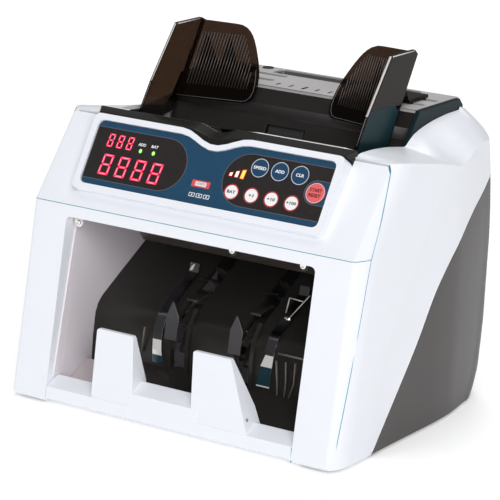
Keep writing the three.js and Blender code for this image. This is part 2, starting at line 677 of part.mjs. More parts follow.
// pull-up carry handle: a bar that lies flush in its well and rises on two legs
function handleAndScrew() {
  const legs = [-39, 59];
  const well = cut(
    alongZ(roundedRect(-50, 70, 189, 207.2, 4, 3), PLATE_Z - 10, PLATE_Z - 2.6),
    alongZ(HANDLE_WELL, PLATE_Z - 8, PLATE_Z),
    ...legs.map((x) => block(x - 3.4, x + 3.4, 195.6, 200.4, 190, 210)),
  );
  add("handle_well", well, BLACK);
  const bar = alongZ(roundedRect(-45.6, 65.6, 191.9, 204.1, 2.5, 3), PLATE_Z - 5, PLATE_Z - 0.6);
  const posts = legs.map((x) => block(x - 3, x + 3, 196, 200, PLATE_Z - 46, PLATE_Z - 4));
  add("carry_handle", fuse(bar, ...posts), WARM_GREY);
  const [x, y] = SCREW_AT;
  const screw = fuse(
    alongZ(circle(x, y, 3.9, 20), PLATE_Z - 3, PLATE_Z + 0.6),
    alongZ(circle(x, y, 2, 12), PLATE_Z - 14, PLATE_Z - 2),
  );
  const driverSlot = block(x - 4, x + 4, y - 0.5, y + 0.5, PLATE_Z - 0.6, PLATE_Z + 5);
  add("gap_screw", cut(screw, driverSlot), BLACK);
}

// ---------- note guides ----------
// back plate plane: it leans back and its inner edge lies further back than its outer edge
const guideBackY = (x, z) => 154 + 0.25 * (81 - x) + 0.55 * (z - 246);

function guideForm() {
  const inner = [
    [36.5, 195.4], [33.2, 196.5], [31, 199], [30.2, 202.5], [30.6, 207.5], [31.6, 212.5], [33, 217],
    [34.9, 221.5], [37.3, 226.3], [39.8, 231], [42.4, 235.2], [44.6, 238.2], [47.2, 240.9],
    [50.3, 243.1], [54.3, 244.6], [59, 245],
  ];
  const outline = [...inner, [80.7, 245.7], [84.4, GUIDE_TOP], [84.4, 195.4]];
  const thick = 2;
  const front = outline.map(([x, z]) => [x, guideBackY(x, z), z]);
  const back = outline.map(([x, z]) => [x, guideBackY(x, z) + thick, z]);
  const sheet = skinBetween(front, back);
  const side = [
    [125.4, GUIDE_TOP], [155.6, GUIDE_TOP], [159.8, 243.6],
    [126, 186], [82.4, 186], [85.6, 192], [97, 210],
  ];
  const flange = alongX(side, GUIDE_HALF - 2.2, GUIDE_HALF);
  return fuse(sheet, flange);
}

// solid between two facing outlines with the same number of points
function skinBetween(front, back) {
  const count = front.length;
  const flatten = () => front.map(([x, , z]) => new THREE.Vector2(x, z));
  if (THREE.ShapeUtils.isClockWise(flatten())) {
    front.reverse();
    back.reverse();
  }
  const flat = flatten();
  const faces = THREE.ShapeUtils.triangulateShape(flat, []);
  const index = [];
  for (const [a, b, c] of faces) index.push(a, b, c, count + a, count + c, count + b);
  for (let i = 0; i < count; i++) {
    const j = (i + 1) % count;
    index.push(i, count + i, count + j, i, count + j, j);
  }
  const geometry = new THREE.BufferGeometry();
  geometry.setAttribute("position", new THREE.Float32BufferAttribute([...front, ...back].flat(), 3));
  geometry.setIndex(index);
  const body = solid(geometry);
  return body.volume() < 0 ? solid(flipped(geometry)) : body;
}

const mirrored = (body) => {
  const geometry = geometryOf(body).applyMatrix4(new THREE.Matrix4().makeScale(-1, 1, 1));
  return solid(flipped(geometry));
};

function noteGuides() {
  // two gussets behind the back plate stand on a slide that runs in the plate's slots
  const foot = [[182, 209], [182, 211], [167, 211]];
  const gussets = [59, 75].map((x) => {
    const web = [[guideBackY(x, 236) + 1, 236], [guideBackY(x, 209) + 1, 209]];
    return alongX([...foot, ...web], x, x + 2);
  });
  const slide = block(58, 80.6, 162, 188, PLATE_Z + 0.8, PLATE_Z + 3);
  const stems = SLOT_Y.map(([y0, y1]) => block(60, 80, y0 + 1, y1 - 1, PLATE_Z - 5.5, PLATE_Z + 2));
  const right = fuse(guideForm(), ...gussets, slide, ...stems);
  add("guide_right", right, SMOKE);
  add("guide_left", mirrored(right), SMOKE);
}

// outline of a rack bar, toothed along its +Y edge
function rackOutline() {
  const [x0, x1, y0, y1] = [-26, 80, 164, 168];
  const teeth = Array.from({ length: 18 }, (_, i) => {
    const a = x0 + 2.6 + i * RACK_PITCH;
    return [[a + 2.8, y1], [a + 2, y1 + 2], [a + 0.8, y1 + 2], [a, y1]];
  });
  return [[x0, y0], [x1, y0], [x1, y1], ...teeth.reverse().flat(), [x0, y1]];
}

function pinionOutline() {
  const tooth = [[-0.21, 5], [-0.04, 7], [0.04, 7], [0.21, 5]];
  return Array.from({ length: PINION_TEETH }, (_, i) => {
    const middle = (2 * Math.PI * i) / PINION_TEETH - Math.PI / 2;
    return tooth.map(([turn, r]) => [r * Math.cos(middle + turn), PINION_Y + r * Math.sin(middle + turn)]);
  }).flat();
}

// a rack under each guide, both in mesh with one pinion, so that the guides move together
function guideRacks() {
  const [z0, z1] = [PLATE_Z - 11, PLATE_Z - 8];
  const bar = rackOutline();
  const turned = bar.map(([x, y]) => [-x, 2 * PINION_Y - y]);
  const rightTie = block(62, 78, 164, 168, z1 - 0.1, PLATE_Z - 6);
  const leftTie = block(-78, -62, 183, 187, z1 - 0.1, PLATE_Z - 6);
  add("rack_right", fuse(alongZ(bar, z0, z1), rightTie), STEEL);
  add("rack_left", fuse(alongZ(turned, z0, z1), leftTie), STEEL);
  add("rack_pinion", alongZ(pinionOutline(), z0, z1 + 0.5), BLACK);
}

// ---------- control panel ----------
const KEYS = [
  ["key_batch", 23.6, 12.8, 4.6, KEY_WHITE],
  ["key_plus_1", 38.9, 12.8, 4.6, KEY_WHITE],
  ["key_plus_10", 54.1, 12.8, 4.6, KEY_WHITE],
  ["key_plus_100", 69.4, 12.8, 4.6, KEY_WHITE],
  ["key_start", 84.1, 22.3, 6.9, KEY_RED],
  ["key_speed", 38.9, 31.9, 6.5, NAVY],
  ["key_add", 54.1, 31.9, 6.5, NAVY],
  ["key_clear", 69.4, 31.9, 6.5, NAVY],
];

function displayOutline(grow) {
  const [low, high] = [4 - grow, 40 + grow];
  const radius = (high - low) / 2;
  const end = Array.from({ length: 13 }, (_, i) => {
    const angle = -Math.PI / 2 + (Math.PI * i) / 12;
    return [-34 + radius * Math.cos(angle), (low + high) / 2 + radius * Math.sin(angle)];
  });
  return [[-90 - grow, low], ...end, [-90 - grow, high]];
}

function controlPanel() {
  const holes = KEYS.map(([, x, y, r]) => circle(x, y, r + 0.25, 24));
  const face = panelOutline(PANEL_HALF, 0, PANEL_HEIGHT, 7.8, 4);
  const sheet = alongZ(face, -1, 0, [...holes, displayOutline(0.25)]);
  add("panel_overlay", sheet, BLUE, panelGroup);
  add("display_window", alongZ(displayOutline(0), -1, 0), TINT, panelGroup);
  for (const [name, x, y, r, material] of KEYS) {
    const cap = alongZ(circle(x, y, r, 24), -2.6, 0.4);
    const skirt = alongZ(circle(x, y, r + 0.8, 24), -2.6, -1.35);
    add(name, fuse(cap, skirt), material, panelGroup);
  }
  const board = fuse(
    alongZ(roundedRect(-90, 90, 2, 34, 2, 2), -6.2, -4.6),
    block(-84, -58, 25, 33.8, -5, -1.4),
    block(-84, -29.5, 6, 23.4, -5, -1.4),
  );
  add("control_board", board, BOARD, panelGroup);
}

// ---------- electrics ----------
function electrics() {
  const parts = [
    block(-106, -104.4, 70, 190, 30, 140),
    block(-112, -106, 90, 130, 60, 84),
    block(-116, -106, 140, 170, 90, 116),
    block(-110, -106, 80, 110, 100, 128),
  ];
  add("main_board", fuse(...parts), BOARD);
  const supply = fuse(block(-88, -18, 150, 204, 9, 12), block(-78, -28, 158, 198, 11, 48));
  add("power_supply", supply, STEEL);
  const housing = cut(
    fuse(block(52, 82, 214, DEPTH - 0.6, 24, 50), block(50, 84, 214, 224, 24, 50)),
    alongY([[56, 29], [78, 29], [78, 42], [74, 46], [60, 46], [56, 42]], 218, 240),
  );
  const pins = [60, 67, 74].map((x) => block(x - 1, x + 1, 216, 226, 35, 41));
  add("power_inlet", fuse(housing, ...pins), BLACK);
  const frame = cut(
    fuse(block(22, 38, 214, DEPTH - 0.6, 26, 48), block(20, 40, 214, 224, 26, 48)),
    block(24.4, 35.6, 217, 240, 28.4, 45.6),
  );
  add("switch_frame", frame, BLACK);
  const rocker = alongX([[221, 29.6], [229.2, 29.6], [227.6, 37], [229.2, 44.4], [221, 44.4]], 24.8, 35.2);
  add("power_rocker", rocker, BLACK);
}

sideCover("side_cover_left", -1);
sideCover("side_cover_right", 1);
frontUpperCover();
frontLowerFrame();
stackerTray();
rearCover();
baseAndFeet();
chassisSide("chassis_side_left", -1);
chassisSide("chassis_side_right", 1);
pocketFloor();
stackerGuide();
noteDeflector("note_deflector_left", [-46.3, -38.8], [-44.6, -36]);
noteDeflector("note_deflector_right", [42.5, 50], [38.6, 49.2]);
feedTrain();
motorAndBelt();
hopperTray();
hopperBackWall();
hopperEnd("hopper_end_left", -1);
hopperEnd("hopper_end_right", 1);
topPlate();
handleAndScrew();
noteGuides();
guideRacks();
controlPanel();
electrics();

export default machine;
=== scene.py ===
from math import cos, dist, exp, pi, radians, sin

import bmesh
import bpy
from mathutils import Matrix, Vector


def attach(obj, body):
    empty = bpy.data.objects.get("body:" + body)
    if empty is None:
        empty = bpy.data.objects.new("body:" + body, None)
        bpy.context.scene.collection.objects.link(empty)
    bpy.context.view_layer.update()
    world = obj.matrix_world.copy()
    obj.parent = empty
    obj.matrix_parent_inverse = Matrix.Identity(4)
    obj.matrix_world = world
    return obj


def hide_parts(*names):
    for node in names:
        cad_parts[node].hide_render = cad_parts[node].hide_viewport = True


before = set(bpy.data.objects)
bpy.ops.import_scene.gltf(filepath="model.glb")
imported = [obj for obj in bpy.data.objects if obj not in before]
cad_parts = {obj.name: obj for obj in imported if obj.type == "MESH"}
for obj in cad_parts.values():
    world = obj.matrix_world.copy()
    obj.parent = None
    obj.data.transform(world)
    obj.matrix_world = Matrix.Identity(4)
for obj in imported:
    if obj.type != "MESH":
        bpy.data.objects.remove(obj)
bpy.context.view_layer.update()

# Lengths below are in millimetres. y runs back from the machine's front foot line.
Y_SHIFT = 115
HOUSING = "housing"
SIDES = ((1, "right"), (-1, "left"))
BOX_FACES = ((0, 1, 3, 2), (4, 6, 7, 5), (0, 4, 5, 1), (2, 3, 7, 6), (0, 2, 6, 4), (1, 5, 7, 3))


def at(x, y, z):
    return Vector((x / 1000, (y - Y_SHIFT) / 1000, z / 1000))


# ---- materials ----
def put(node, **values):
    """Sets a shader node's inputs; an underscore stands for a space."""
    for name, value in values.items():
        node.inputs[name.replace("_", " ")].default_value = value


def material(name, color, rough, metal=0.0, vary=0.03, vary_scale=18, grain=0.0, grain_scale=2200,
             rough_vary=0.06, specular=0.5, **sockets):
    """A moulded or metal surface: slow colour and gloss variation, and a fine grain in the bump."""
    made = bpy.data.materials.new(name)
    made.use_nodes = True
    nodes, links = made.node_tree.nodes, made.node_tree.links
    shader = nodes["Principled BSDF"]
    coord = nodes.new("ShaderNodeTexCoord")
    slow = nodes.new("ShaderNodeTexNoise")
    put(slow, Scale=vary_scale, Detail=5)
    links.new(coord.outputs["Object"], slow.inputs["Vector"])
    tint = nodes.new("ShaderNodeMix")
    tint.data_type = "RGBA"
    dark, pale = [max(0, c * (1 - vary)) for c in color], [min(1, c * (1 + vary)) for c in color]
    put(tint, A=(*dark, 1), B=(*pale, 1))
    links.new(slow.outputs["Fac"], tint.inputs["Factor"])
    links.new(tint.outputs["Result"], shader.inputs["Base Color"])
    gloss = nodes.new("ShaderNodeMapRange")
    put(gloss, To_Min=max(0.02, rough - rough_vary), To_Max=rough + rough_vary)
    links.new(slow.outputs["Fac"], gloss.inputs["Value"])
    links.new(gloss.outputs["Result"], shader.inputs["Roughness"])
    if grain:
        fine = nodes.new("ShaderNodeTexNoise")
        put(fine, Scale=grain_scale, Detail=3)
        links.new(coord.outputs["Object"], fine.inputs["Vector"])
        bump = nodes.new("ShaderNodeBump")
        put(bump, Strength=grain, Distance=0.0001)
        links.new(fine.outputs["Fac"], bump.inputs["Height"])
        links.new(bump.outputs["Normal"], shader.inputs["Normal"])
    put(shader, Metallic=metal, Specular_IOR_Level=specular, **sockets)
    return made


def glow(name, color, strength, rough=0.4):
    made = material(name, color, rough, vary=0.08, vary_scale=300)
    put(made.node_tree.nodes["Principled BSDF"], Emission_Color=(*color, 1), Emission_Strength=strength)
    return made


WHITE = material("white_moulding", (0.83, 0.85, 0.90), 0.38, vary=0.012, grain=0.10, grain_scale=1600)
GREY_COVER = material("dark_grey_moulding", (0.060, 0.054, 0.052), 0.36, vary=0.1, grain=0.35,
                      grain_scale=1300, specular=0.3)
BLACK = material("black_moulding", (0.022, 0.020, 0.0175), 0.24, vary=0.15, grain=0.12, grain_scale=1500,
                 specular=0.3)
LIP_BLACK = material("lip_moulding", (0.016, 0.0155, 0.014), 0.22, vary=0.15, grain=0.12, grain_scale=1500,
                     specular=0.16)
BLACK_MATT = material("black_matt_moulding", (0.016, 0.015, 0.014), 0.42, vary=0.15, grain=0.25)
TEAL_BLACK = material("teal_black_moulding", (0.010, 0.021, 0.026), 0.22, vary=0.15, grain=0.12,
                      specular=0.08)
DARK_GREY = material("dark_handle_moulding", (0.045, 0.045, 0.052), 0.45, vary=0.08, grain=0.3,
                     specular=0.15)
SMOKE = material("smoked_plastic", (0.038, 0.021, 0.013), 0.07, vary=0.05, rough_vary=0.02,
                 Transmission_Weight=0.93, IOR=1.22, specular=0.16)
SILVER = material("silver_plate", (0.66, 0.64, 0.64), 0.33, metal=0.35, vary=0.03, grain=0.2,
                  grain_scale=1500)
STEEL = material("bright_steel", (0.72, 0.72, 0.73), 0.16, metal=1.0, vary=0.05, grain=0.1)
CHROME = material("polished_leaf", (0.93, 0.91, 0.88), 0.06, metal=1.0, vary=0.02, rough_vary=0.02)
PAINTED = material("grey_painted_steel", (0.80, 0.745, 0.785), 0.5, vary=0.03, grain=0.4, grain_scale=1400)
# The pocket floor is the walls' grey paint made darker, as painted shade.
FLOOR_SHADED = material("shaded_floor_steel", (0.56, 0.50, 0.52), 0.45, vary=0.05, grain=0.3)
RUBBER = material("black_rubber", (0.022, 0.022, 0.023), 0.75, vary=0.15, grain=0.6, grain_scale=900)
BLUE = material("blue_film", (0.014, 0.060, 0.120), 0.3, vary=0.16, vary_scale=420, rough_vary=0.03)
TINT = material("dark_window", (0.024, 0.020, 0.020), 0.2, vary=0.25, vary_scale=200, rough_vary=0.03)
NAVY = material("navy_key", (0.014, 0.056, 0.120), 0.32, vary=0.12, vary_scale=200)
KEY_WHITE = material("white_key", (0.88, 0.86, 0.86), 0.35, vary=0.02)
KEY_RED = material("red_key", (0.76, 0.135, 0.14), 0.35, vary=0.1, vary_scale=200)
INK_WHITE = material("white_print", (0.86, 0.87, 0.88), 0.4, vary=0.03)
INK_DARK = material("dark_print", (0.02, 0.018, 0.018), 0.4, vary=0.03)
INK_RED = material("red_print", (0.55, 0.03, 0.03), 0.4, vary=0.05)
INK_MAROON = material("maroon_print", (0.12, 0.004, 0.008), 0.4, vary=0.05)
# Pale and dim colours painted as highlights where light catches the note guides' flange edges.
BRIGHT_EDGE_HIGHLIGHT = material("bright_flange_highlight", (0.62, 0.57, 0.56), 0.35, vary=0.12, vary_scale=160)
DIM_EDGE_HIGHLIGHT = material("dim_flange_highlight", (0.10, 0.095, 0.092), 0.35, vary=0.12, vary_scale=160)
INK_GREY = material("grey_print", (0.13, 0.12, 0.13), 0.4, vary=0.05)
TEAL = material("teal_seam", (0.02, 0.30, 0.42), 0.45, vary=0.1)
FOOT_TEAL = material("teal_tint", (0.008, 0.030, 0.036), 0.3, vary=0.25, vary_scale=60,
                     specular=0.1)
FLANGE_BROWN = material("flange_brown", (0.017, 0.013, 0.010), 0.25, vary=0.15, specular=0.12)
BLACK_STEEL = material("blackened_steel", (0.045, 0.045, 0.047), 0.4, metal=0.5, vary=0.1, grain=0.2)
SPRING_STEEL = material("spring_steel", (0.20, 0.20, 0.205), 0.16, metal=1.0, vary=0.08, rough_vary=0.03)
# Bright and blue colours painted on the spring strips as painted reflections.
SHOE_REFLECTION = material("painted_shoe_reflection", (0.90, 0.88, 0.84), 0.12, metal=0.25, vary=0.02)
SHOE_BLUE_REFLECTION = material("painted_blue_shoe_reflection", (0.022, 0.066, 0.090), 0.12, metal=0.4, vary=0.25, vary_scale=90)
WHEEL_BLACK = material("wheel_moulding", (0.026, 0.022, 0.020), 0.15, vary=0.12, specular=0.7)
# A lighter black painted high on the hopper's back wall as painted light.
WALL_LIT_BAND = material("lit_band_black_moulding", (0.040, 0.036, 0.037), 0.3, vary=0.12, grain=0.2)
RIB_GREY = material("rib_highlight", (0.17, 0.155, 0.15), 0.3, vary=0.1)
TICK = material("tick_print", (0.012, 0.011, 0.011), 0.6, vary=0.03, specular=0.05)
# Grey painted on the black guide's leaves as painted light, lighter than the black moulding they belong to.
LEAF_LIT = material("painted_lit_leaf", (0.058, 0.054, 0.058), 0.35, vary=0.12, vary_scale=90, grain=0.1)
FOLD_BROWN = material("brown_black_moulding", (0.034, 0.027, 0.023), 0.3, vary=0.12, grain=0.1)
WIRE = material("bright_wire", (0.62, 0.58, 0.56), 0.3, metal=0.4, vary=0.08)
PINK_STEEL = material("dull_pink_steel", (0.42, 0.30, 0.31), 0.4, metal=0.3, vary=0.1)
BOARD = material("green_board", (0.02, 0.12, 0.05), 0.4, vary=0.2, vary_scale=90)
DIGIT = glow("digit_light", (0.68, 0.012, 0.055), 0.75)
DIGIT_CORE = glow("digit_core", (1.0, 0.20, 0.30), 0.9)
INK_PALE = material("pale_print", (0.55, 0.58, 0.64), 0.4, vary=0.03)
INK_PINK = material("pink_print", (0.80, 0.48, 0.48), 0.4, vary=0.03)
BADGE_RED = material("badge_red", (0.70, 0.09, 0.085), 0.4, vary=0.1, vary_scale=300)
SMOKE_RIB = material("smoked_rib", (0.056, 0.046, 0.041), 0.22, vary=0.08)
TEAL_SOFT = material("pale_teal_seam", (0.10, 0.36, 0.45), 0.5, vary=0.15)
# Bright colour painted as the highlight on the lit rear edge of the hopper's lip.
LIP_HIGHLIGHT = material("bright_lip_highlight", (0.80, 0.76, 0.77), 0.2, vary=0.03)
# Dim grey painted as thin highlights on lit edges: the lip across its dip, the leaves, the guides' plate rims
# and the silver plate's front edge.
DIM_HIGHLIGHT = material("dim_painted_highlight", (0.16, 0.15, 0.15), 0.25, vary=0.05)
# Dim green glow painted in a ring round each panel light.
LED_GLOW_RING = glow("green_glow_ring", (0.02, 0.22, 0.03), 0.5)
BAR_ORANGE = glow("orange_bar_light", (1.0, 0.42, 0.06), 1.3)
BAR_GLOW = glow("bar_glow", (0.75, 0.035, 0.02), 0.7)
LED_GREEN = glow("green_light", (0.35, 0.85, 0.12), 1.6)
BAR_LIGHT = glow("bar_light", (1.0, 0.80, 0.66), 1.0)


# ---- helpers ----
FLAT_ANGLE = 0.6
SHARP_ANGLE = 32


def keep(node, finish, bevel):
    """A CAD node that stays: its facets joined, its edges rounded, and its own finish."""
    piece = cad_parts[node]
    piece.data.shade_smooth()
    for slot in piece.material_slots:
        slot.link = "OBJECT"
        slot.material = finish
    weld = piece.modifiers.new("weld", "WELD")
    weld.merge_threshold = 0.000002
    plane = piece.modifiers.new("flat", "DECIMATE")
    plane.decimate_type = "DISSOLVE"
    plane.angle_limit = radians(FLAT_ANGLE)
    round_edges(piece, bevel)
    shade(piece)


def round_edges(piece, width, segments=2, angle=SHARP_ANGLE):
    bevel = piece.modifiers.new("bevel", "BEVEL")
    bevel.width = width / 1000
    bevel.segments = segments
    bevel.limit_method = "ANGLE"
    bevel.angle_limit = radians(angle)
    bevel.miter_outer = "MITER_ARC"
    bevel.use_clamp_overlap = True


def shade(piece):
    normals = piece.modifiers.new("normals", "WEIGHTED_NORMAL")
    normals.mode = "FACE_AREA"
    normals.weight = 50
    normals.keep_sharp = True


def new_object(name, data):
    made = bpy.data.objects.new(name, data)
    bpy.context.scene.collection.objects.link(made)
    return made


def enter(name, mesh, finish, body):
    """Puts a mesh into the scene as a piece that rides a body."""
    mesh.materials.append(finish)
    piece = new_object(name, mesh)
    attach(piece, body)
    return piece


def piece_from(name, verts, faces, finish, slot=None, body=HOUSING, replaces=()):
    mesh = bpy.data.meshes.new(name)
    mesh.from_pydata([tuple(v) for v in verts], [], faces)
    bm = bmesh.new()
    bm.from_mesh(mesh)
    bmesh.ops.remove_doubles(bm, verts=bm.verts, dist=1e-7)
    bmesh.ops.recalc_face_normals(bm, faces=bm.faces)
    bm.to_mesh(mesh)
    bm.free()
    mesh.shade_smooth()
    piece = enter(name, mesh, finish, body)
    if replaces:
        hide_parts(*replaces)
    return piece


def settle(piece):
    """Applies the piece's modifiers, so that what follows works on the finished mesh."""
    graph = bpy.context.evaluated_depsgraph_get()
    made = bpy.data.meshes.new_from_object(piece.evaluated_get(graph))
    piece.modifiers.clear()
    piece.data = made


def smooth_line(points, position):
    """Value at a position on a smooth monotone curve through [position, value] points."""
    if position <= points[0][0]:
        return points[0][1]
    if position >= points[-1][0]:
        return points[-1][1]
    slopes = [(b[1] - a[1]) / (b[0] - a[0]) for a, b in zip(points, points[1:])]
    tangents = [slopes[0]]
    for a, b in zip(slopes, slopes[1:]):
        tangents.append(0 if a * b <= 0 else 2 * a * b / (a + b))
    tangents.append(slopes[-1])
    for i, (a, b) in enumerate(zip(points, points[1:])):
        if position <= b[0]:
            h = b[0] - a[0]
            t = (position - a[0]) / h
            return (
                a[1] * (2 * t**3 - 3 * t**2 + 1)
                + h * tangents[i] * (t**3 - 2 * t**2 + t)
                + b[1] * (3 * t**2 - 2 * t**3)
                + h * tangents[i + 1] * (t**3 - t**2)
            )


def broken_line(points, position):
    if position <= points[0][0]:
        return points[0][1]
    for a, b in zip(points, points[1:]):
        if position <= b[0]:
            return a[1] + (b[1] - a[1]) * (position - a[0]) / (b[0] - a[0])
    return points[-1][1]


# ---- the body's outer surface ----
# Lines of [position, value] points. These give y at a height.
FRONT_LINE = [(0, 5), (4.5, 0), (12.7, 1.5), (135.3, 21.8), (190.8, 64.5), (215, 83)]
REAR_LINE = [
    (0, 216), (8, 223), (20, 228), (55, 230), (108, 230), (147, 226), (175, 219), (190, 214), (215, 206),
]
SIDE_SEAM = [(0, 3), (135.3, 35), (191, 64.5)]
SOFT_CREASE = [
    (0, 40), (38.6, 50), (61.8, 57.8), (102, 81.8), (131.7, 99.8), (157.6, 122), (172.6, 143), (175, 156),
    (200, 170),
]
# This one gives the half-width at a depth, and the next three the height at a depth.
SIDE_LINE = [(0, 130.4), (125, 130.4), (150, 129.4), (175, 126), (200, 121.4), (216, 118)]
WELL_EDGE = [
    (0, 191), (65, 191), (72, 192.7), (82, 192.6), (98, 191.6), (107, 190.6), (118, 188.9), (130, 187.2),
    (134, 189.6), (141, 193.4), (153, 196.6), (171, 199.2), (190, 200.4), (206, 200.5), (236, 199),
]
OUTER_EDGE = [
    (0, 191), (65, 191), (100, 186), (131, 180), (156, 174.4), (178, 178.4), (190, 178.3), (212, 171.8),
    (236, 162),
]
REAR_SEAM = [
    (47, 0), (75, 32), (101, 63), (127, 98), (157, 123), (180, 138.5), (206, 151), (219, 160), (228, 166),
    (245, 170),
]
# Plan radius of the rear corner at a height, and half-width at a distance behind the front face.
CORNER_RADIUS = [(0, 36), (20, 27), (55, 19), (108, 16), (215, 16)]
CORNER = [(0, 122.5), (1, 125.2), (3.4, 126.6), (9, 129.2), (17, 130.4)]
CORNER_DEPTH = 17
SIDE_HALF = 130.4
HOPPER_HALF = 97
GUIDE_SIDE = 86.4
FRONT_SEAM_Z = 135.3
# Along the outer surface, a path runs back to SIDE_END, round the rear corner, and in along the rear wall.
SIDE_END = 178
CORNER_SPAN = 60
CORNER_END = SIDE_END + CORNER_SPAN
PATH_MIDDLE = CORNER_END + HOPPER_HALF
# Edges of the covers, as path positions and heights.
HALF_GAP = 0.25
FOOT_Z = 2.0
FOOT_START = 3.2
SEAM_FOOT = 47.6
SHOULDER_START = 64.5
REAR_TOP = 200.3
WALL = 2.6


def side_x(y, z):
    """Half-width of the body: the side steps in softly behind a swept crease."""
    step, soft, reach = 1.1, 14, 110
    half = smooth_line(SIDE_LINE, y)
    behind = y - smooth_line(SOFT_CREASE, z)
    if behind > 0:
        fade = max(0, 1 - behind / reach)
        half -= step * (1 - exp(-behind / soft)) * fade
    return half


def rear_path(z):
    """Plan curve from the side at y = SIDE_END round the rear corner to the middle of the rear wall."""
    rear = smooth_line(REAR_LINE, z)
    radius = broken_line(CORNER_RADIUS, z)
    centre_y = rear - radius
    centre_x = side_x(centre_y, z) - radius
    points = [(side_x(y, z), y) for y in (SIDE_END, (SIDE_END + centre_y) / 2) if y < centre_y - 0.2]
    steps = 12
    for i in range(steps + 1):
        angle = pi / 2 * i / steps
        points.append((centre_x + radius * cos(angle), centre_y + radius * sin(angle)))
    points.append((HOPPER_HALF, rear))
    return points


def on_path(s, z):
    """Plan point of the outer surface at path position s and height z."""
    if s <= SIDE_END:
        ahead = s - broken_line(FRONT_LINE, z)
        x = smooth_line(CORNER, ahead) if ahead < CORNER_DEPTH else side_x(s, z)
        return x, s
    share = (s - SIDE_END) / CORNER_SPAN
    points = rear_path(z)
    if share >= 1:
        return HOPPER_HALF - (s - CORNER_END), points[-1][1]
    spans = [dist(a, b) for a, b in zip(points, points[1:])]
    left = share * sum(spans)
    for a, b, span in zip(points, points[1:], spans):
        if left <= span:
            f = left / span
            return a[0] + (b[0] - a[0]) * f, a[1] + (b[1] - a[1]) * f
        left -= span
    return points[-1]


def top_height(x, y):
    """Height of the shoulder between the hopper well and the body's side."""
    inner = smooth_line(WELL_EDGE, y)
    outer = smooth_line(OUTER_EDGE, y)
    return inner + (outer - inner) * (x - HOPPER_HALF) / (SIDE_HALF - HOPPER_HALF)


def shoulder_height(x, y, ridge_x):
    """Top of the shoulder: towards the rear a steeper facet runs along its outer edge."""
    rise, start, ramp, width = 2.0, 148, 22, 12
    height = top_height(x, y)
    out = ridge_x - x
    facet = rise * max(0, min(1, (y - start) / ramp))
    if out < width:
        return height + facet * out / width
    return height + facet * max(0, 1 - (out - width) / max(1, ridge_x - HOPPER_HALF - width))


def ridge(s):
    """Height at which the outer surface meets the shoulder."""
    z = 185.0
    for _ in range(12):
        x, y = on_path(s, z)
        z = 0.5 * z + 0.5 * top_height(x, y)
    return z


def seam_height(s):
    """Height of the line between the white and dark covers at path position s."""
    z = 120.0
    for _ in range(16):
        y = on_path(s, z)[1]
        z = 0.5 * z + 0.5 * smooth_line(REAR_SEAM, y)
    return z


def resample(line, count):
    """The same line as count equal steps."""
    spans = [dist(a, b) for a, b in zip(line, line[1:])]
    total = sum(spans)
    made = []
    for i in range(count + 1):
        left = total * i / count
        for a, b, span in zip(line, line[1:], spans):
            if left <= span + 1e-9:
                f = min(1, left / span) if span else 0
                made.append(tuple(p + (q - p) * f for p, q in zip(a, b)))
                break
            left -= span
    return made


def patch(low, high, left, right):
    """Grid of points between four edges that share corners, in the surface's own two coordinates."""
    n, m = len(low) - 1, len(left) - 1
    grid = []
    for j in range(m + 1):
        v = j / m
        row = []
        for i in range(n + 1):
            u = i / n
            row.append(tuple(
                (1 - v) * low[i][k] + v * high[i][k] + (1 - u) * left[j][k] + u * right[j][k]
                - (1 - u) * (1 - v) * low[0][k] - u * (1 - v) * low[n][k]
                - (1 - u) * v * high[0][k] - u * v * high[n][k]
                for k in range(2)
            ))
        grid.append(row)
    return grid


def grid_faces(rows, columns, first=0):
    starts = [first + j * columns + i for j in range(rows - 1) for i in range(columns - 1)]
    return [(a, a + 1, a + columns + 1, a + columns) for a in starts]


def tube_faces(rings, around, first=0):
    """Faces round a tube of closed rings, and over its two ends."""
    faces = []
    for j in range(rings - 1):
        for k in range(around):
            a, b = first + around * j + k, first + around * j + (k + 1) % around
            faces.append((a, b, b + around, a + around))
    last = first + around * (rings - 1)
    return faces + [tuple(reversed(range(first, first + around))), tuple(range(last, last + around))]


def cover_seam(side):
    """Line where the side and rear covers meet: the side cover's edge for side 1, the rear cover's for -1."""
    gap = side * HALF_GAP
    steps = 60
    line = [(SEAM_FOOT - gap, FOOT_Z)]
    for i in range(1, steps + 1):
        s = SEAM_FOOT + (CORNER_END - SEAM_FOOT) * i / steps
        line.append((s - gap, seam_height(s) + gap))
    line[-1] = (CORNER_END, line[-1][1])
    return line


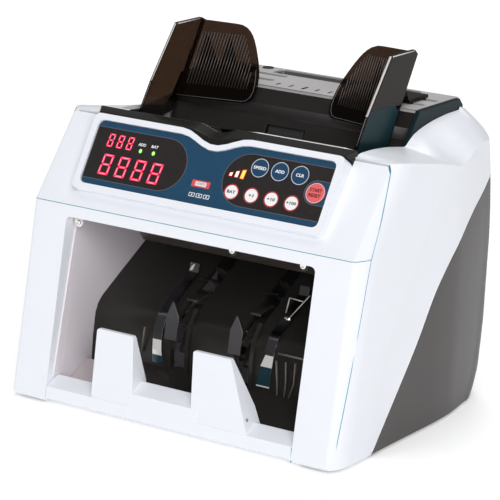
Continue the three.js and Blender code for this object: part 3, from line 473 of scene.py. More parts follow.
def side_cover(name, sign, node):
    """White side moulding: its outer face, and the shoulder that folds in to the hopper well."""
    split, across, up, inward = 14, 96, 44, 14
    bottom = resample([(FOOT_START + HALF_GAP, FOOT_Z), (SEAM_FOOT - HALF_GAP, FOOT_Z)], split)
    low = bottom[:-1] + resample(cover_seam(1), across - split)
    start = SHOULDER_START + HALF_GAP
    crest = [(s, ridge(s)) for s in [start + (CORNER_END - start) * i / 160 for i in range(161)]]
    turn = min(range(len(crest)), key=lambda i: abs(crest[i][0] - 96))
    high = resample(crest[: turn + 1], split)[:-1] + resample(crest[turn:], across - split)
    heights = [FOOT_Z + 189 * i / 60 for i in range(61)]
    left = resample([(broken_line(SIDE_SEAM, z) + HALF_GAP, z) for z in heights], up)
    left[0], left[-1] = low[0], high[0]
    right = resample([low[-1], high[-1]], up)
    grid = patch(low, high, left, right)
    verts = []
    for row in grid:
        for s, z in row:
            x, y = on_path(s, z)
            verts.append(at(sign * x, y, z))
    rear_y = on_path(CORNER_END, high[-1][1])[1]
    for j in range(1, inward + 1):
        f = j / inward
        for s, z in grid[-1]:
            x, y = on_path(s, z)
            share = max(0, (s - SIDE_END) / CORNER_SPAN)
            inner_y = y if share == 0 else SIDE_END + (rear_y - SIDE_END) * share
            xi, yi = x + (HOPPER_HALF - x) * f, y + (inner_y - y) * f
            verts.append(at(sign * xi, yi, shoulder_height(xi, yi, x)))
    faces = grid_faces(up + 1 + inward, across + 1)
    cover = piece_from(name, verts, faces, WHITE, "white_cover", replaces=[node])
    outward(cover)
    thicken(cover, WALL)
    round_edges(cover, 0.9, 3, 28)
    shade(cover)


def outward(piece):
    """Turns the faces of an open skin so that they look away from the machine's middle."""
    middle = at(0, 110, 90)
    bm = bmesh.new()
    bm.from_mesh(piece.data)
    facing = [f.normal.dot((f.calc_center_median() - middle).normalized()) * f.calc_area() for f in bm.faces]
    if sum(facing) < 0:
        bmesh.ops.reverse_faces(bm, faces=bm.faces)
    bm.to_mesh(piece.data)
    bm.free()
    piece.data.shade_smooth()


def thicken(piece, wall):
    """Gives an open skin a wall, inwards."""
    solid = piece.modifiers.new("wall", "SOLIDIFY")
    solid.thickness = wall / 1000
    solid.offset = -1


def rear_skin():
    """Vertices and faces of both halves of the rear cover, whose top edge folds inwards."""
    across, up, above = 60, 48, 14
    edge = cover_seam(-1)
    top_z = edge[-1][1]
    low = resample([(SEAM_FOOT + HALF_GAP, FOOT_Z), (PATH_MIDDLE, FOOT_Z)], across)
    high = resample([(CORNER_END, top_z), (PATH_MIDDLE, top_z)], across)
    right = resample([(PATH_MIDDLE, FOOT_Z), (PATH_MIDDLE, top_z)], up)
    rows = patch(low, high, resample(edge, up), right)
    top = [CORNER_END + (PATH_MIDDLE - CORNER_END) * i / across for i in range(across + 1)]
    for j in range(1, above + 1):
        rows.append([(s, top_z + (REAR_TOP - top_z) * j / above) for s in top])
    verts, faces = [], []
    for sign in (1, -1):
        faces += grid_faces(len(rows) + 1, across + 1, len(verts))
        for row in rows:
            for s, z in row:
                x, y = on_path(s, z)
                verts.append(at(sign * x, y, z))
        for s in top:
            x, y = on_path(s, REAR_TOP)
            verts.append(at(sign * x, y - 3.5, REAR_TOP + 0.1))
    return verts, faces


def rear_cover():
    cover = piece_from("rear_cover_moulding", *rear_skin(), GREY_COVER, "grey_cover", replaces=["rear_cover"])
    outward(cover)
    thicken(cover, WALL)
    settle(cover)
    air_slots = [(-60, 20, 92 + 8 * i, 95.5 + 8 * i) for i in range(7)]
    inlet, rocker = (51.7, 82.3, 23.7, 50.3), (21.7, 38.3, 25.7, 48.3)
    verts, faces = [], []
    for x0, x1, z0, z1 in [*air_slots, inlet, rocker]:
        first = len(verts)
        verts += [at(x, y, z) for x in (x0, x1) for y in (214, 240) for z in (z0, z1)]
        faces += [tuple(first + i for i in face) for face in BOX_FACES]
    cutter = piece_from("rear_holes", verts, faces, GREY_COVER)
    cut = cover.modifiers.new("holes", "BOOLEAN")
    cut.object = cutter
    cut.solver = "EXACT"
    settle(cover)
    bpy.data.objects.remove(cutter)
    cover.data.shade_smooth()
    round_edges(cover, 0.6, 2, 40)
    shade(cover)


side_cover("side_cover_right_moulding", 1, "side_cover_right")
side_cover("side_cover_left_moulding", -1, "side_cover_left")
rear_cover()

# ---- CAD nodes that stay ----
# finish, edge radius, nodes
KEPT = (
    (WHITE, 0.8, "front_upper_cover stacker_tray"),
    (WHITE, 0.7, "front_lower_frame"),
    (LIP_BLACK, 0.5, "hopper_tray"),
    (TEAL_BLACK, 0.4, "hopper_end_left hopper_end_right"),
    (BLACK, 0.4, "hopper_back_wall stacker_guide power_rocker"),
    (BLACK, 0.2, "gap_screw"),
    (WHEEL_BLACK, 0.2, "stacker_wheel_left stacker_wheel_right"),
    (BLACK_MATT, 0.4, "power_inlet"),
    (BLACK_MATT, 0.3, "stacker_pulley handle_well switch_frame"),
    (BLACK_MATT, 0.15, "feed_gear rack_pinion"),
    (DARK_GREY, 0.5, "carry_handle"),
    (SMOKE, 0.25, "guide_left guide_right"),
    (SILVER, 0.2, "top_plate"),
    (SPRING_STEEL, 0.1, "note_deflector_left note_deflector_right"),
    (STEEL, 0.5, "main_motor"),
    (STEEL, 0.4, "power_supply"),
    (STEEL, 0.3, "feed_shaft stacker_shaft motor_pulley"),
    (BLACK_STEEL, 0.1, "rack_left rack_right"),
    (PAINTED, 0.3, "base_plate"),
    (PAINTED, 0.2, "chassis_side_left chassis_side_right"),
    (FLOOR_SHADED, 0.2, "pocket_floor"),
    (RUBBER, 0.6, "foot_front_left foot_rear_left foot_front_right foot_rear_right"),
    (RUBBER, 0.4, "feed_roller_left feed_roller_right"),
    (RUBBER, 0.3, "pickup_roller retard_roller"),
    (RUBBER, 0.2, "exit_roller drive_belt"),
    (BLUE, 0.15, "panel_overlay"),
    (TINT, 0.1, "display_window"),
    (KEY_WHITE, 0.2, "key_batch key_plus_1 key_plus_10 key_plus_100"),
    (KEY_RED, 0.2, "key_start"),
    (NAVY, 0.2, "key_speed key_add key_clear"),
    (BOARD, 0.2, "control_board main_board"),
)
for finish, radius, nodes in KEPT:
    for node in nodes.split():
        keep(node, finish, radius)

# ---- control panel ----
PANEL_TILT = radians(59.5)
PANEL_UP = Vector((0, cos(PANEL_TILT), sin(PANEL_TILT)))
PANEL_OUT = Vector((0, -sin(PANEL_TILT), cos(PANEL_TILT)))


def on_panel(x, t, h=0):
    """Point of the tilted panel: x across, t up its slope, h above its face."""
    return at(0, 27.9, 150.8) + (Vector((1, 0, 0)) * x + PANEL_UP * t + PANEL_OUT * h) / 1000


def circle(x, t, radius, steps=40, squash=1.0):
    turns = [2 * pi * i / steps for i in range(steps)]
    return [(x + radius * cos(turn), t + radius * squash * sin(turn)) for turn in turns]


def arc(x, t, radius, start, end, steps):
    turns = [radians(start + (end - start) * i / steps) for i in range(steps + 1)]
    return [(x + radius * cos(turn), t + radius * sin(turn)) for turn in turns]


def rounded(x0, x1, t0, t1, radius, steps=5):
    left, right, low, high = x0 + radius, x1 - radius, t0 + radius, t1 - radius
    return (
        arc(left, low, radius, 180, 270, steps) + arc(right, low, radius, 270, 360, steps)
        + arc(right, high, radius, 0, 90, steps) + arc(left, high, radius, 90, 180, steps)
    )


def grown(loop, by):
    """Closed outline moved sideways, outwards where `by` is positive."""
    count = len(loop)
    area = sum(loop[i - 1][0] * loop[i][1] - loop[i][0] * loop[i - 1][1] for i in range(count))
    side = 1 if area > 0 else -1
    made = []
    for i in range(count):
        p, q, r = loop[i - 1], loop[i], loop[(i + 1) % count]
        before = Vector((q[0] - p[0], q[1] - p[1])).normalized()
        after = Vector((r[0] - q[0], r[1] - q[1])).normalized()
        middle = (before + after).normalized()
        reach = by / max(0.5, middle.dot(before))
        made.append((q[0] + side * middle.y * reach, q[1] - side * middle.x * reach))
    return made


def raised_mesh(name, bm, step):
    """Closed mesh made by extruding all the faces by a step."""
    made = bmesh.ops.extrude_face_region(bm, geom=bm.faces[:])
    raised = [v for v in made["geom"] if isinstance(v, bmesh.types.BMVert)]
    bmesh.ops.translate(bm, verts=raised, vec=step)
    bmesh.ops.recalc_face_normals(bm, faces=bm.faces)
    assert all(len(edge.link_faces) == 2 for edge in bm.edges), name
    mesh = bpy.data.meshes.new(name)
    bm.to_mesh(mesh)
    bm.free()
    return mesh


def plate(name, loops, low, high, finish, slot=None, body=HOUSING, place=on_panel):
    """Flat piece with the given outlines, inner ones being holes, between two heights."""
    bm = bmesh.new()
    edges = []
    for loop in loops:
        ring = [bm.verts.new(place(x, t, low)) for x, t in loop]
        edges += [bm.edges.new((a, b)) for a, b in zip(ring, ring[1:] + ring[:1])]
    bmesh.ops.triangle_fill(bm, edges=edges, use_beauty=True)
    return enter(name, raised_mesh(name, bm, place(0, 0, high) - place(0, 0, low)), finish, body)


def legend(name, text, x, t, width, height, low, high, finish, slot, body=HOUSING):
    """Raised lettering on the panel, stretched to a given width and height."""
    curve = bpy.data.curves.new(name, "FONT")
    curve.body = text
    curve.align_x = "CENTER"
    curve.align_y = "CENTER"
    curve.extrude = 0.5
    curve.resolution_u = 3
    curve.offset = 0.028
    carrier = new_object(name, curve)
    bpy.context.view_layer.update()
    mesh = bpy.data.meshes.new_from_object(carrier.evaluated_get(bpy.context.evaluated_depsgraph_get()))
    bpy.data.objects.remove(carrier)
    xs = [v.co.x for v in mesh.vertices]
    ts = [v.co.y for v in mesh.vertices]
    for v in mesh.vertices:
        u = (v.co.x - min(xs)) / (max(xs) - min(xs)) - 0.5
        w = (v.co.y - min(ts)) / (max(ts) - min(ts)) - 0.5
        v.co = on_panel(x + u * width, t + w * height, low if v.co.z < 0 else high)
    mesh.name = name
    mesh.materials.clear()
    return enter(name, mesh, finish, body)


# Layers on the panel, by height above it: printed fields, marks on the fields, lights and key tops.
FIELD = (0.02, 0.12)
OUTLINE = (0.03, 0.15)
MARK = (0.13, 0.18)
BADGE = (0.12, 0.16)
PRINT = (0.405, 0.45)
ROUND_KEY = 4.6
# body, x, t, radius
KEYS = {
    "batch": ("batch_key", 23.6, 12.8, 4.6), "plus_1": ("plus_1_key", 38.9, 12.8, 4.6),
    "plus_10": ("plus_10_key", 54.1, 12.8, 4.6), "plus_100": ("plus_100_key", 69.4, 12.8, 4.6),
    "start": ("start_key", 84.1, 22.3, 6.9), "speed": ("speed_key", 38.9, 31.9, 6.5),
    "add": ("add_key", 54.1, 31.9, 6.5), "clear": ("clear_key", 69.4, 31.9, 6.5),
}


def fields():
    """Dark fields behind the display and the keys, each with a fine grey outline."""
    edge = 92.5
    display = [(-edge, 4.0)] + arc(-34, 22.2, 18.2, -90, 90, 24) + [(-edge, 40.4)]
    keys = (
        [(edge, 4.2), (edge, 14.3)] + arc(84.1, 22.6, 8.3, 270, 90, 20) + [(edge, 30.9), (edge, 40.3)]
        + arc(32.2, 22.25, 18.05, 90, 270, 24)
    )
    holes = [circle(x, t, r + 0.3) for body, x, t, r in KEYS.values() if body != "start_key"]
    for name, outline, inner in (("display", display, []), ("key", keys, holes)):
        plate(name + "_field", [outline] + inner, *FIELD, TINT, "display_tint")
        line = [grown(outline, 0.28), grown(outline, -0.1)]
        plate(name + "_field_line", line, *OUTLINE, INK_GREY, "panel_blue")


def segment_loops(x, t, w, h, s, inset=0.0):
    """Outlines of a digit's seven bars, s wide; inset leaves only the bright middle of each bar."""
    g, m, slant = 0.12, h / 2, 0.07
    shapes = [
        [(g, h), (w - g, h), (w - s - g, h - s), (s + g, h - s)],
        [(s + g, s), (w - s - g, s), (w - g, 0), (g, 0)],
        [(g + s / 2, m), (g + s, m + s / 2), (w - g - s, m + s / 2), (w - g - s / 2, m),
         (w - g - s, m - s / 2), (g + s, m - s / 2)],
        [(0, h - g), (s, h - s - g), (s, m + s / 2 + g), (s / 2, m + g), (0, m + s / 2 + g)],
        [(0, g), (0, m - s / 2 - g), (s / 2, m - g), (s, m - s / 2 - g), (s, s + g)],
    ]
    shapes += [[(w - a, b) for a, b in reversed(shape)] for shape in shapes[3:]]
    made = []
    for shape in shapes:
        loop = grown(shape, -inset) if inset else shape
        made.append([(x + a + slant * b, t + b) for a, b in loop])
    return made


def digits():
    # x, t, width, height and bar width of the four large and the three small digits
    places = [(-81.9 + 13.25 * i, 7.6, 8.3, 14.7, 1.65) for i in range(4)]
    places += [(-82.2 + 7.75 * i, 27.4, 4.7, 9.3, 1.15) for i in range(3)]
    glowing, cores = [], []
    for x, t, width, height, bar in places:
        glowing += segment_loops(x, t, width, height, bar)
        cores += segment_loops(x, t, width, height, bar, inset=bar * 0.32)
    plate("display_digits", glowing, 0.13, 0.2, DIGIT, "display_tint")
    plate("display_digit_cores", cores, 0.19, 0.24, DIGIT_CORE, "display_tint")


def lights():
    for side, x in (("left", -54.2), ("right", -43.8)):
        plate("led_" + side, [circle(x, 28.3, 0.95, 20, 1.3)], 0.13, 0.3, LED_GREEN, "display_tint")
        # A green ring glowing round each light, painted as the light's halo on the panel.
        rim = [circle(x, 28.3, 1.5, 20, 1.2), circle(x, 28.3, 1.0, 20, 1.3)]
        plate("led_glow_ring_" + side, rim, *MARK, LED_GLOW_RING, "display_tint")
    legend("label_add_light", "ADD", -54.4, 32.8, 6.0, 2.0, *MARK, INK_WHITE, "display_tint")
    legend("label_batch_light", "BAT", -44.2, 32.9, 5.4, 2.0, *MARK, INK_WHITE, "display_tint")
    bars = (
        (19.0, 23.4, 25.7, 1.7, BAR_LIGHT),
        (23.4, 23.2, 27.3, 1.9, BAR_LIGHT),
        (27.8, 22.8, 28.8, 2.3, BAR_ORANGE),
    )
    for i, (x, low, high, width, finish) in enumerate(bars):
        lean = 0.08 * (high - low)
        left, right = x - width / 2, x + width / 2
        bar = [(left, low), (right, low), (right + lean, high), (left + lean, high - 0.6)]
        plate(f"speed_bar_{i}", [bar], 0.14, 0.22, finish, "display_tint")
        plate(f"speed_bar_glow_{i}", [grown(bar, 0.38), grown(bar, 0.02)], *MARK, BAR_GLOW, "display_tint")


def banknote_marks():
    """A red badge with a banknote outline, and a row of three small banknotes."""
    plate("badge_plate", [rounded(-7.6, 6.4, 11.6, 16.3, 0.6)], 0.03, 0.12, BADGE_RED, "key_red")
    note = rounded(-4.9, 3.7, 12.5, 15.4, 0.4)
    plate("badge_note", [note, grown(note, -0.5)], *BADGE, INK_WHITE, "key_white")
    plate("badge_note_dot", [circle(-0.6, 13.95, 0.75, 20)], *BADGE, INK_WHITE, "key_white")
    notes, dots = [], []
    for i in range(3):
        shift = 5.7 * i
        note = rounded(-7.2 + shift, -2.6 + shift, 4.7, 7.5, 0.4)
        notes += [note, grown(note, -0.42)]
        dots.append(circle(-4.9 + shift, 6.1, 0.55, 16))
    plate("note_marks", notes, 0.03, 0.1, INK_WHITE, "key_white")
    plate("note_mark_dots", dots, 0.03, 0.1, INK_WHITE, "key_white")


def key_marks():
    for name, (body, x, t, r) in KEYS.items():
        if r == ROUND_KEY:
            ring = [circle(x, t, r + 0.85), circle(x, t, r + 0.33)]
            plate("key_ring_" + name, ring, 0.1, 0.17, INK_RED, "key_red")
        else:
            pale = INK_PALE if name != "start" else INK_PINK
            ring = [circle(x, t, r - 0.05), circle(x, t, r - 0.55)]
            plate("key_ring_" + name, ring, *PRINT, pale, "key_white", body)
    words = {
        "batch": ("BAT", 6.3, 2.1, INK_DARK), "plus_1": ("+1", 3.7, 2.1, INK_DARK),
        "plus_10": ("+10", 6.0, 2.1, INK_DARK), "plus_100": ("+100", 7.3, 2.1, INK_DARK),
        "speed": ("SPEED", 9.6, 2.2, INK_WHITE), "add": ("ADD", 7.0, 2.2, INK_WHITE),
        "clear": ("CLR", 6.2, 2.2, INK_WHITE),
    }
    for name, (text, width, height, finish) in words.items():
        body, x, t, r = KEYS[name]
        legend("legend_" + name, text, x, t, width, height, *PRINT, finish, "key_white", body)
    body, x, t, r = KEYS["start"]
    legend("legend_start", "START", x, t + 1.9, 9.0, 2.4, *PRINT, INK_MAROON, "key_red", body)
    legend("legend_reset", "RESET", x, t - 1.7, 9.0, 2.4, *PRINT, INK_MAROON, "key_red", body)


fields()
digits()
lights()
banknote_marks()
key_marks()


# ---- seams, screws and trim ----
def ribbon(name, path, across, thick, finish, slot, body=HOUSING):
    """Thin strip along a path; across and thick are its half-vectors' directions and sizes at each point."""
    verts = []
    for point, side, depth in zip(path, across, thick):
        verts += [point - side - depth, point + side - depth, point + side + depth, point - side + depth]
    return piece_from(name, verts, tube_faces(len(path), 4), finish, slot, body)


def seam_strips():
    """Tinted gaps between the front covers and the side covers, and between the two front covers."""
    for sign, side in SIDES:
        path, across, thick = [], [], []
        rise = 187.5 if sign > 0 else 172
        for i in range(61):
            z = 2.5 + rise * i / 60
            y = broken_line(SIDE_SEAM, z)
            x, _ = on_path(y, z)
            x2, _ = on_path(y + 1, z)
            along = Vector((sign * (x2 - x), 1, 0)).normalized()
            out = Vector((sign * along.y, -sign * along.x, 0)).normalized()
            path.append(at(sign * x, y, z) - out * 0.00045)
            across.append(along * 0.0003)
            thick.append(out * 0.0004)
        ribbon("seam_strip_" + side, path, across, thick, TEAL, "white_cover")
    front = broken_line(FRONT_LINE, FRONT_SEAM_Z)
    flat_half = CORNER[0][1]
    path = []
    for i in range(81):
        x = -128.5 + 257 * i / 80
        ahead = smooth_line([(half, back) for back, half in CORNER], abs(x)) if abs(x) > flat_half else 0
        path.append(at(x, front + ahead + 0.5, FRONT_SEAM_Z))
    across = [Vector((0, 0, 0.00022))] * len(path)
    thick = [Vector((0, 0.0004, 0))] * len(path)
    ribbon("seam_strip_front", path, across, thick, TEAL_SOFT, "white_cover")


def screw_head(name, place, axis, radius, height, finish):
    """Pan head with a cross recess."""
    axis = Vector(axis).normalized()
    side = axis.orthogonal().normalized()
    other = axis.cross(side)
    profile = [(radius, 0), (radius, height * 0.45), (radius * 0.9, height * 0.8), (radius * 0.62, height)]
    steps = 28
    verts = []
    for r, h in profile:
        for i in range(steps):
            turn = 2 * pi * i / steps
            verts.append(place + (axis * h + side * r * cos(turn) + other * r * sin(turn)) / 1000)
    head = piece_from(name, verts, tube_faces(len(profile), steps), finish)
    w, d = radius * 0.16, radius * 0.55
    cross = [(w, w), (w, d), (-w, d), (-w, w), (-d, w), (-d, -w), (-w, -w), (-w, -d), (w, -d), (w, -w),
             (d, -w), (d, w)]
    bm = bmesh.new()
    low = [bm.verts.new(place + (axis * height * 0.45 + side * a + other * b) / 1000) for a, b in cross]
    bm.faces.new(low)
    tool = new_object(name + "_recess", raised_mesh(name, bm, axis * height / 1000))
    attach(tool, HOUSING)
    cut = head.modifiers.new("recess", "BOOLEAN")
    cut.object = tool
    cut.solver = "EXACT"
    bpy.context.view_layer.update()
    settle(head)
    bpy.data.objects.remove(tool)
    head.data.shade_smooth()
    round_edges(head, 0.12, 2, 35)


def frame_screw(index, x, z, finish):
    """A lug behind the window's upper edge with a pan-head screw through it."""
    half, top, face = 3.4, 127.8, 28.0
    end = arc(x, z - 0.4, half, 180, 360, 14)
    outline = [(x - half, top), (x - half, z)] + end + [(x + half, z), (x + half, top)]
    lug = plate(f"screw_lug_{index}", [outline], face, 30.4, finish, place=lambda u, w, h=0: at(u, h, w))
    round_edges(lug, 0.3, 2, 40)
    screw_head(f"frame_screw_{index}", at(x, face, z), (0, -1, 0), 2.35, 1.4, CHROME)


def strip(name, points, half, deep, normal, finish, slot, body=HOUSING):
    """Thin strip of the given half-width and half-thickness through points, lying flat across a normal."""
    normal = Vector(normal).normalized()
    path = [at(*p) for p in points]
    across = []
    for i in range(len(path)):
        run = path[min(i + 1, len(path) - 1)] - path[max(i - 1, 0)]
        across.append(run.cross(normal).normalized() * half / 1000)
    return ribbon(name, path, across, [normal * deep / 1000] * len(path), finish, slot, body)


def guide_face(x, z):
    """y of a note guide's slotted front plate."""
    return 154 + 0.25 * (81 - x) + 0.55 * (z - 246)


def guide_edges():
    """Edges of the guides' side flanges coloured as painted highlights, the upper ones wider on the right
    guide, and the raised rim round each front plate, coloured as a dim painted highlight.
    """
    upper = [(97 + 28.4 * f, 210 + 37 * f) for f in (0.01, 0.3, 0.6, 0.985)]
    lower = [(85.6 + 11.4 * f, 192 + 18 * f) for f in (0.04, 0.5, 0.98)]
    rim = [(83.6, 196.6), (60, 196.6), (37.2, 196.6), (34.4, 197.5), (32.6, 199.6), (31.6, 203),
           (31.9, 207.5), (32.8, 212), (34.2, 217)]
    for sign, side in SIDES:
        own = ("smoke_guide", side + "_guide_unit")
        x = sign * (GUIDE_SIDE - 1.1)
        half = 0.8 if sign > 0 else 0.4
        strip("guide_edge_upper_" + side, [(x, y - 0.08, z + 0.06) for y, z in upper], half, 0.15,
              (0, -0.794, 0.609), BRIGHT_EDGE_HIGHLIGHT, *own)
        strip("guide_edge_lower_" + side, [(x, y - 0.08, z + 0.05) for y, z in lower], 0.35, 0.15,
              (0, -0.845, 0.535), DIM_EDGE_HIGHLIGHT, *own)
        face = GUIDE_SIDE + 0.03 if sign > 0 else 2.23 - GUIDE_SIDE
        strip("guide_edge_top_" + side, [(face, y, 246.3) for y in (125.9, 141, 155)], 0.4, 0.05, (1, 0, 0),
              BRIGHT_EDGE_HIGHLIGHT, *own)
        points = [(sign * u, guide_face(u, w) - 0.1, w) for u, w in rim]
        strip("guide_rim_" + side, points, 0.14, 0.15, (0, -1, 0), DIM_HIGHLIGHT, *own)


def flange_skins():
    """Outer skin of the right guide's side flange: brown above, with a teal-tinted foot."""
    skin = [(125.8, 245.8), (155.2, 245.8), (158.9, 243.4), (141.4, 213.9), (100.9, 213.9), (98.4, 210.9)]
    foot = [(84.3, 187.2), (125.6, 187.2), (137.5, 208), (131, 213.6), (100.4, 213.6), (97.7, 209.6),
            (86.4, 191.8)]
    for name, outline, finish in (("skin", skin, FLANGE_BROWN), ("foot", foot, FOOT_TEAL)):
        plate(f"flange_{name}_right", [outline], 0.02, 0.1, finish, "smoke_guide", "right_guide_unit",
              place=lambda y, z, h=0: at(GUIDE_SIDE + h, y, z))


def guide_ribs():
    """Vertical ribs on the guides' front plates."""
    edge = [(34.5, 204), (36.2, 213), (38.6, 220), (42.2, 227.5), (46.7, 235.7), (51.7, 241.8), (58.5, 244.8)]
    low, half = 204.5, 0.36
    profile = ((-half, 0.3), (-half * 0.6, -0.42), (half * 0.6, -0.42), (half, 0.3))
    for sign, side in SIDES:
        verts, faces = [], []
        x = 79.0
        while x > 35:
            first = len(verts)
            top = min(238.8, smooth_line(edge, x)) - 0.3
            for z in (low, (low + top) / 2, top):
                verts += [at(sign * (x + dx), guide_face(x, z) + dy, z) for dx, dy in profile]
            faces += tube_faces(3, 4, first)
            x -= 2.1
        piece_from("guide_ribs_" + side, verts, faces, SMOKE_RIB, "smoke_guide", side + "_guide_unit")


def plate_details():
    """Position ticks on the silver plate, a strip along its front edge coloured as a painted highlight, and
    the handle's pivot pin.
    """
    y = 159
    marks = []
    for x, half, reach in ((-21.5, 0.75, 3), (-10.9, 0.75, 3), (0, 1.1, 4), (10.1, 0.75, 3), (20.4, 0.75, 3)):
        left, right, near, far = x - half, x + half, y - reach, y + reach
        marks.append([(left, near), (right, near), (right, far), (left, far)])
    plate("plate_ticks", marks, 208.0, 208.06, TICK, "silver_plate", place=at)
    # Strip along the plate's front edge, coloured as a painted highlight.
    strip("plate_front_edge", [(x, 149.25, 207.75) for x in (-93, 0, 93)], 0.3, 0.1, (0, -0.7, 0.7), DIM_HIGHLIGHT,
          "silver_plate")
    pin = circle(-41.5, 196.8, 1.9, 24)
    plate("handle_pivot", [pin], 207.2, 207.95, CHROME, body="lift_handle", place=at)


def window_fold():
    """Brown fold behind the window's upper edge."""
    profile = [(34.5, 130.6), (36, 131.2), (50.6, 114.4), (50.2, 112.9), (49.2, 113.4)]
    verts = [at(x, y, z) for x in (-55, 96.4) for y, z in profile]
    fold = piece_from("window_fold", verts, tube_faces(2, len(profile)), FOLD_BROWN, "black_moulding")
    round_edges(fold, 0.4, 2, 30)


def guide_details():
    """Ribs and pointed leaves on the front of the pocket's black guide; the ribs are coloured as painted
    highlights, the leaves' faces lightened as painted light and their edges coloured as painted highlights.
    """
    for i, line in enumerate((
        [(53.6, 50.2, 49.5), (54.6, 50.6, 36), (55, 50.9, 23)],
        [(61, 50.2, 50), (61.4, 50.6, 36), (60, 50.9, 22)],
        [(68.4, 50.2, 50.6), (67.6, 50.6, 36), (62.8, 50.9, 22.6)],
        [(-52, 50.2, 52), (-53.4, 50.6, 42), (-54.2, 50.9, 34)],
    )):
        strip(f"guide_rib_{i}", line, 0.28, 0.9, (0, -1, 0), RIB_GREY, "black_moulding")
    lean = [(43, 52.6), (56, 54.6), (74, 57)]
    for side, wheel in (("left", -25.7), ("right", 25.7)):
        left, right = wheel - 12.3, wheel - 2.4
        tip = [(wheel - 8.0, 71.7), (wheel - 7.4, 71.7)]
        front = [(left, 46), (left, 61.9), *tip, (right, 62.4), (right, 46)]
        plate("leaf_face_" + side, [front], 0.02, 0.14, LEAF_LIT, "black_moulding",
              place=lambda x, z, h=0: at(x, broken_line(lean, z) - h, z))
        edge = [(wheel - 7.6, 71.6), (wheel - 2.5, 62.2), (wheel - 2.5, 52)]
        points = [(x, broken_line(lean, z) - 0.2, z) for x, z in edge]
        strip("leaf_edge_" + side, points, 0.22, 0.1, (0, -1, 0), DIM_HIGHLIGHT, "black_moulding")


def deflector_details():
    """Painted reflections, bright and blue, on the feet of the spring strips and a bright one on the left
    strip's bent tab, and a painted highlight along the guide's ridge.
    """
    lean = [(29.4, 49.6), (38, 49.9), (53.4, 52.9)]
    for name, outline, finish in (
        ("white_left_low", [(-44.7, 34.7), (-37.2, 34.7), (-37.9, 38), (-45.1, 38)], SHOE_REFLECTION),
        ("white_left", [(-45.1, 38), (-37.9, 38), (-38.9, 45), (-45.9, 45)], SHOE_REFLECTION),
        ("teal_left", [(-44.4, 30), (-36.5, 30), (-37.2, 34.5), (-44.7, 34.5)], SHOE_BLUE_REFLECTION),
        ("white_right", [(41.0, 43.2), (49.8, 43.2), (49.9, 51), (43.6, 51)], SHOE_REFLECTION),
        ("teal_right", [(40.2, 38), (49.5, 38), (49.7, 43), (40.9, 43)], SHOE_BLUE_REFLECTION),
        ("teal_right_low", [(39.2, 30.6), (49.2, 30.6), (49.5, 38), (40.2, 38)], SHOE_BLUE_REFLECTION),
        ("tip_right", [(39.1, 29.5), (49.1, 29.5), (49.2, 30.4), (39.1, 30.4)], SHOE_REFLECTION),
    ):
        plate("deflector_shoe_" + name, [outline], 0.04, 0.12, finish, "bright_steel",
              place=lambda x, z, h=0: at(x, broken_line(lean, z) - h, z))
    tab = [(-46, 83.9), (-43.6, 84.6), (-42.4, 89), (-44.6, 87.4)]
    plate("deflector_tab_left", [tab], 0.04, 0.12, SHOE_REFLECTION, "bright_steel",
          place=lambda x, z, h=0: at(x, 93.2 + (z - 83.9) * 0.328 - h, z))
    # Painted highlight along the lit ridge of the black guide.
    strip("guide_ridge", [(52, 54.3, 53.2), (76, 54.3, 53.2)], 0.7, 0.4, (0, -0.93, 0.37), RIB_GREY,
          "black_moulding")


def pocket_walls():
    """Fillers between the window frame and the pocket's side walls, and a lighter band high on the hopper's
    back wall, painted light.
    """
    filler = [(8.5, 18), (20, 18), (33.8, 127), (32.6, 127), (26.6, 100), (21.4, 76.4), (15.3, 48.8)]
    for sign, side in SIDES:
        plate("wall_filler_" + side, [filler], -0.9, 0, PAINTED, "pressed_steel",
              place=lambda y, z, h=0: at(sign * (97.95 + h), y, z))
    face = [(148.9, 205.2), (139.2, 189.2)]
    points = [(x, y - 0.32, z) for x in (-92.8, 92.8) for y, z in face]
    points += [(x, y - 0.12, z - 0.12) for x in (-92.8, 92.8) for y, z in face]
    piece_from("back_wall_band", [at(*p) for p in points], BOX_FACES, WALL_LIT_BAND, "black_moulding")


def small_hardware():
    """Bent wire at the pocket's right end, the tray's end seam, and the screw in the prong."""
    front = (0, -1, 0)
    wire = {
        "cross": [(55.9, 60, 90.8), (66.1, 60, 90.2)], "diagonal": [(71.1, 60, 95.2), (55.8, 60, 76.6)],
        "drop": [(55.7, 60, 90.8), (53.4, 60, 80.2)],
    }
    for name, line in wire.items():
        strip("link_wire_" + name, line, 0.32, 0.3, front, WIRE, "bright_steel")
    strip("link_wire_tab", [(52.8, 59.8, 75.8), (57.2, 59.8, 76.8)], 1.3, 0.3, (0, -1, 0.3), CHROME,
          "bright_steel")
    strip("tray_end_seam", [(97.85, 1.1, 2.4), (97.85, 1.4, 12)], 0.16, 0.5, front, TEAL, "white_cover")
    screw_head("prong_screw", at(59.6, 7, 21), (0.926, 0, 0.377), 1.25, 0.55, PINK_STEEL)


def lip_dip(x):
    """Depth of the finger dip in the hopper's lip."""
    middle, half, depth = -7, 16, 2
    off = abs(x - middle)
    return depth * (1 + cos(pi * off / half)) if off < half else 0


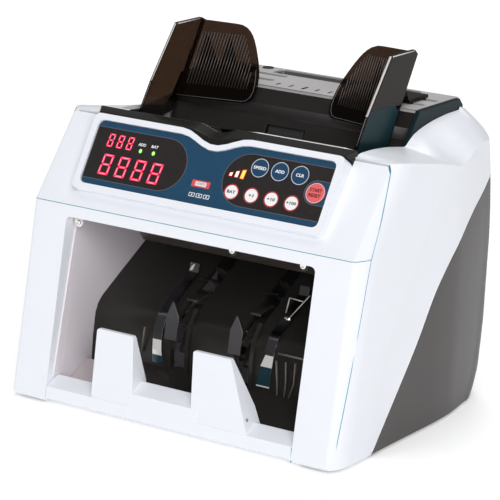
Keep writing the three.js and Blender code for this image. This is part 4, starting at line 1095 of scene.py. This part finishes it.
def lip_highlight_bead():
    """Bead along the lip's rear upper edge, coloured as a painted highlight, thin and dimmer across the
    finger dip.
    """
    spans = (
        ("right", 14, 96.5, 1.0, LIP_HIGHLIGHT),
        ("middle", -80, 14, 0.35, DIM_HIGHLIGHT),
        ("left", -101, -80, 1.0, LIP_HIGHLIGHT),
    )
    count, around = 60, 10
    for name, x0, x1, radius, finish in spans:
        verts = []
        for i in range(count + 1):
            x = x0 + (x1 - x0) * i / count
            reach = radius * min(1, max(0.3, min(i, count - i) / (count * 0.1)))
            for k in range(around):
                turn = 2 * pi * k / around
                verts.append(at(x, 66.6 + reach * cos(turn),
                                194.95 - lip_dip(x) + reach * 0.75 * sin(turn)))
        piece_from("lip_highlight_bead_" + name, verts, tube_faces(count + 1, around), finish, "black_moulding")


seam_strips()
for index, (x, z, finish) in enumerate(((-93.4, 123.0, PAINTED), (30.4, 125.2, BLACK), (84.6, 124.8, BLACK))):
    frame_screw(index, x, z, finish)
guide_ribs()
guide_edges()
flange_skins()
plate_details()
window_fold()
guide_details()
deflector_details()
pocket_walls()
small_hardware()
lip_highlight_bead()

# ---- camera, floor and light ----
def camera():
    azimuth, elevation, roll = (radians(a) for a in (32.30, 15.07, 2.29))
    level = cos(elevation)
    back = Vector((sin(azimuth) * level, -cos(azimuth) * level, sin(elevation)))
    right = (-back).cross(Vector((0, 0, 1))).normalized()
    up = right.cross(-back)
    turned = right * cos(roll) + up * sin(roll)
    upright = up * cos(roll) - right * sin(roll)
    data = bpy.data.cameras.new("camera")
    data.lens = 189.65
    data.sensor_width = 36
    data.clip_end = 20
    made = new_object("camera", data)
    place = Matrix((turned, upright, back)).transposed().to_4x4()
    place.translation = Vector((0.91951, -1.47242, 0.56907))
    made.matrix_world = place
    bpy.context.scene.camera = made


def floor():
    mesh = bpy.data.meshes.new("floor")
    reach = 6
    corners = [(-reach, -reach, 0), (reach, -reach, 0), (reach, reach, 0), (-reach, reach, 0)]
    mesh.from_pydata(corners, [], [(0, 1, 2, 3)])
    made = new_object("floor", mesh)
    mesh.materials.append(glow("studio_floor", (0.93, 0.93, 0.93), 0.3, 0.6))


def lamp(name, place, aim, size, power):
    """Rectangular soft light; place, aim and size are in metres and power in watts."""
    data = bpy.data.lights.new(name, "AREA")
    data.shape = "RECTANGLE"
    data.size, data.size_y = size
    data.energy = power
    made = new_object(name, data)
    made.location = place
    made.rotation_mode = "QUATERNION"
    made.rotation_quaternion = (Vector(aim) - Vector(place)).to_track_quat("-Z", "Y")


def light():
    world = bpy.data.worlds.new("studio")
    bpy.context.scene.world = world
    world.use_nodes = True
    put(world.node_tree.nodes["Background"], Color=(0.96, 0.97, 1.0, 1), Strength=0.15)
    machine = (0, 0, 0.1)
    lamp("key_light", (2.6, -3.1, 2.3), machine, (2.4, 2.0), 100)
    lamp("fill_light", (1.8, -2.9, 0.6), machine, (2.0, 0.9), 20)
    lamp("left_light", (-2.5, 0.0, 2.3), machine, (1.0, 1.0), 8)
    lamp("backdrop_light", (-0.9, 2.0, 3.2), (-1.5, 2.4, 0), (1.4, 1.4), 60)
    lamp("top_light", (0.4, -0.3, 2.6), machine, (1.6, 1.6), 20)


camera()
floor()
light()
bpy.context.scene.view_settings.view_transform = "Standard"
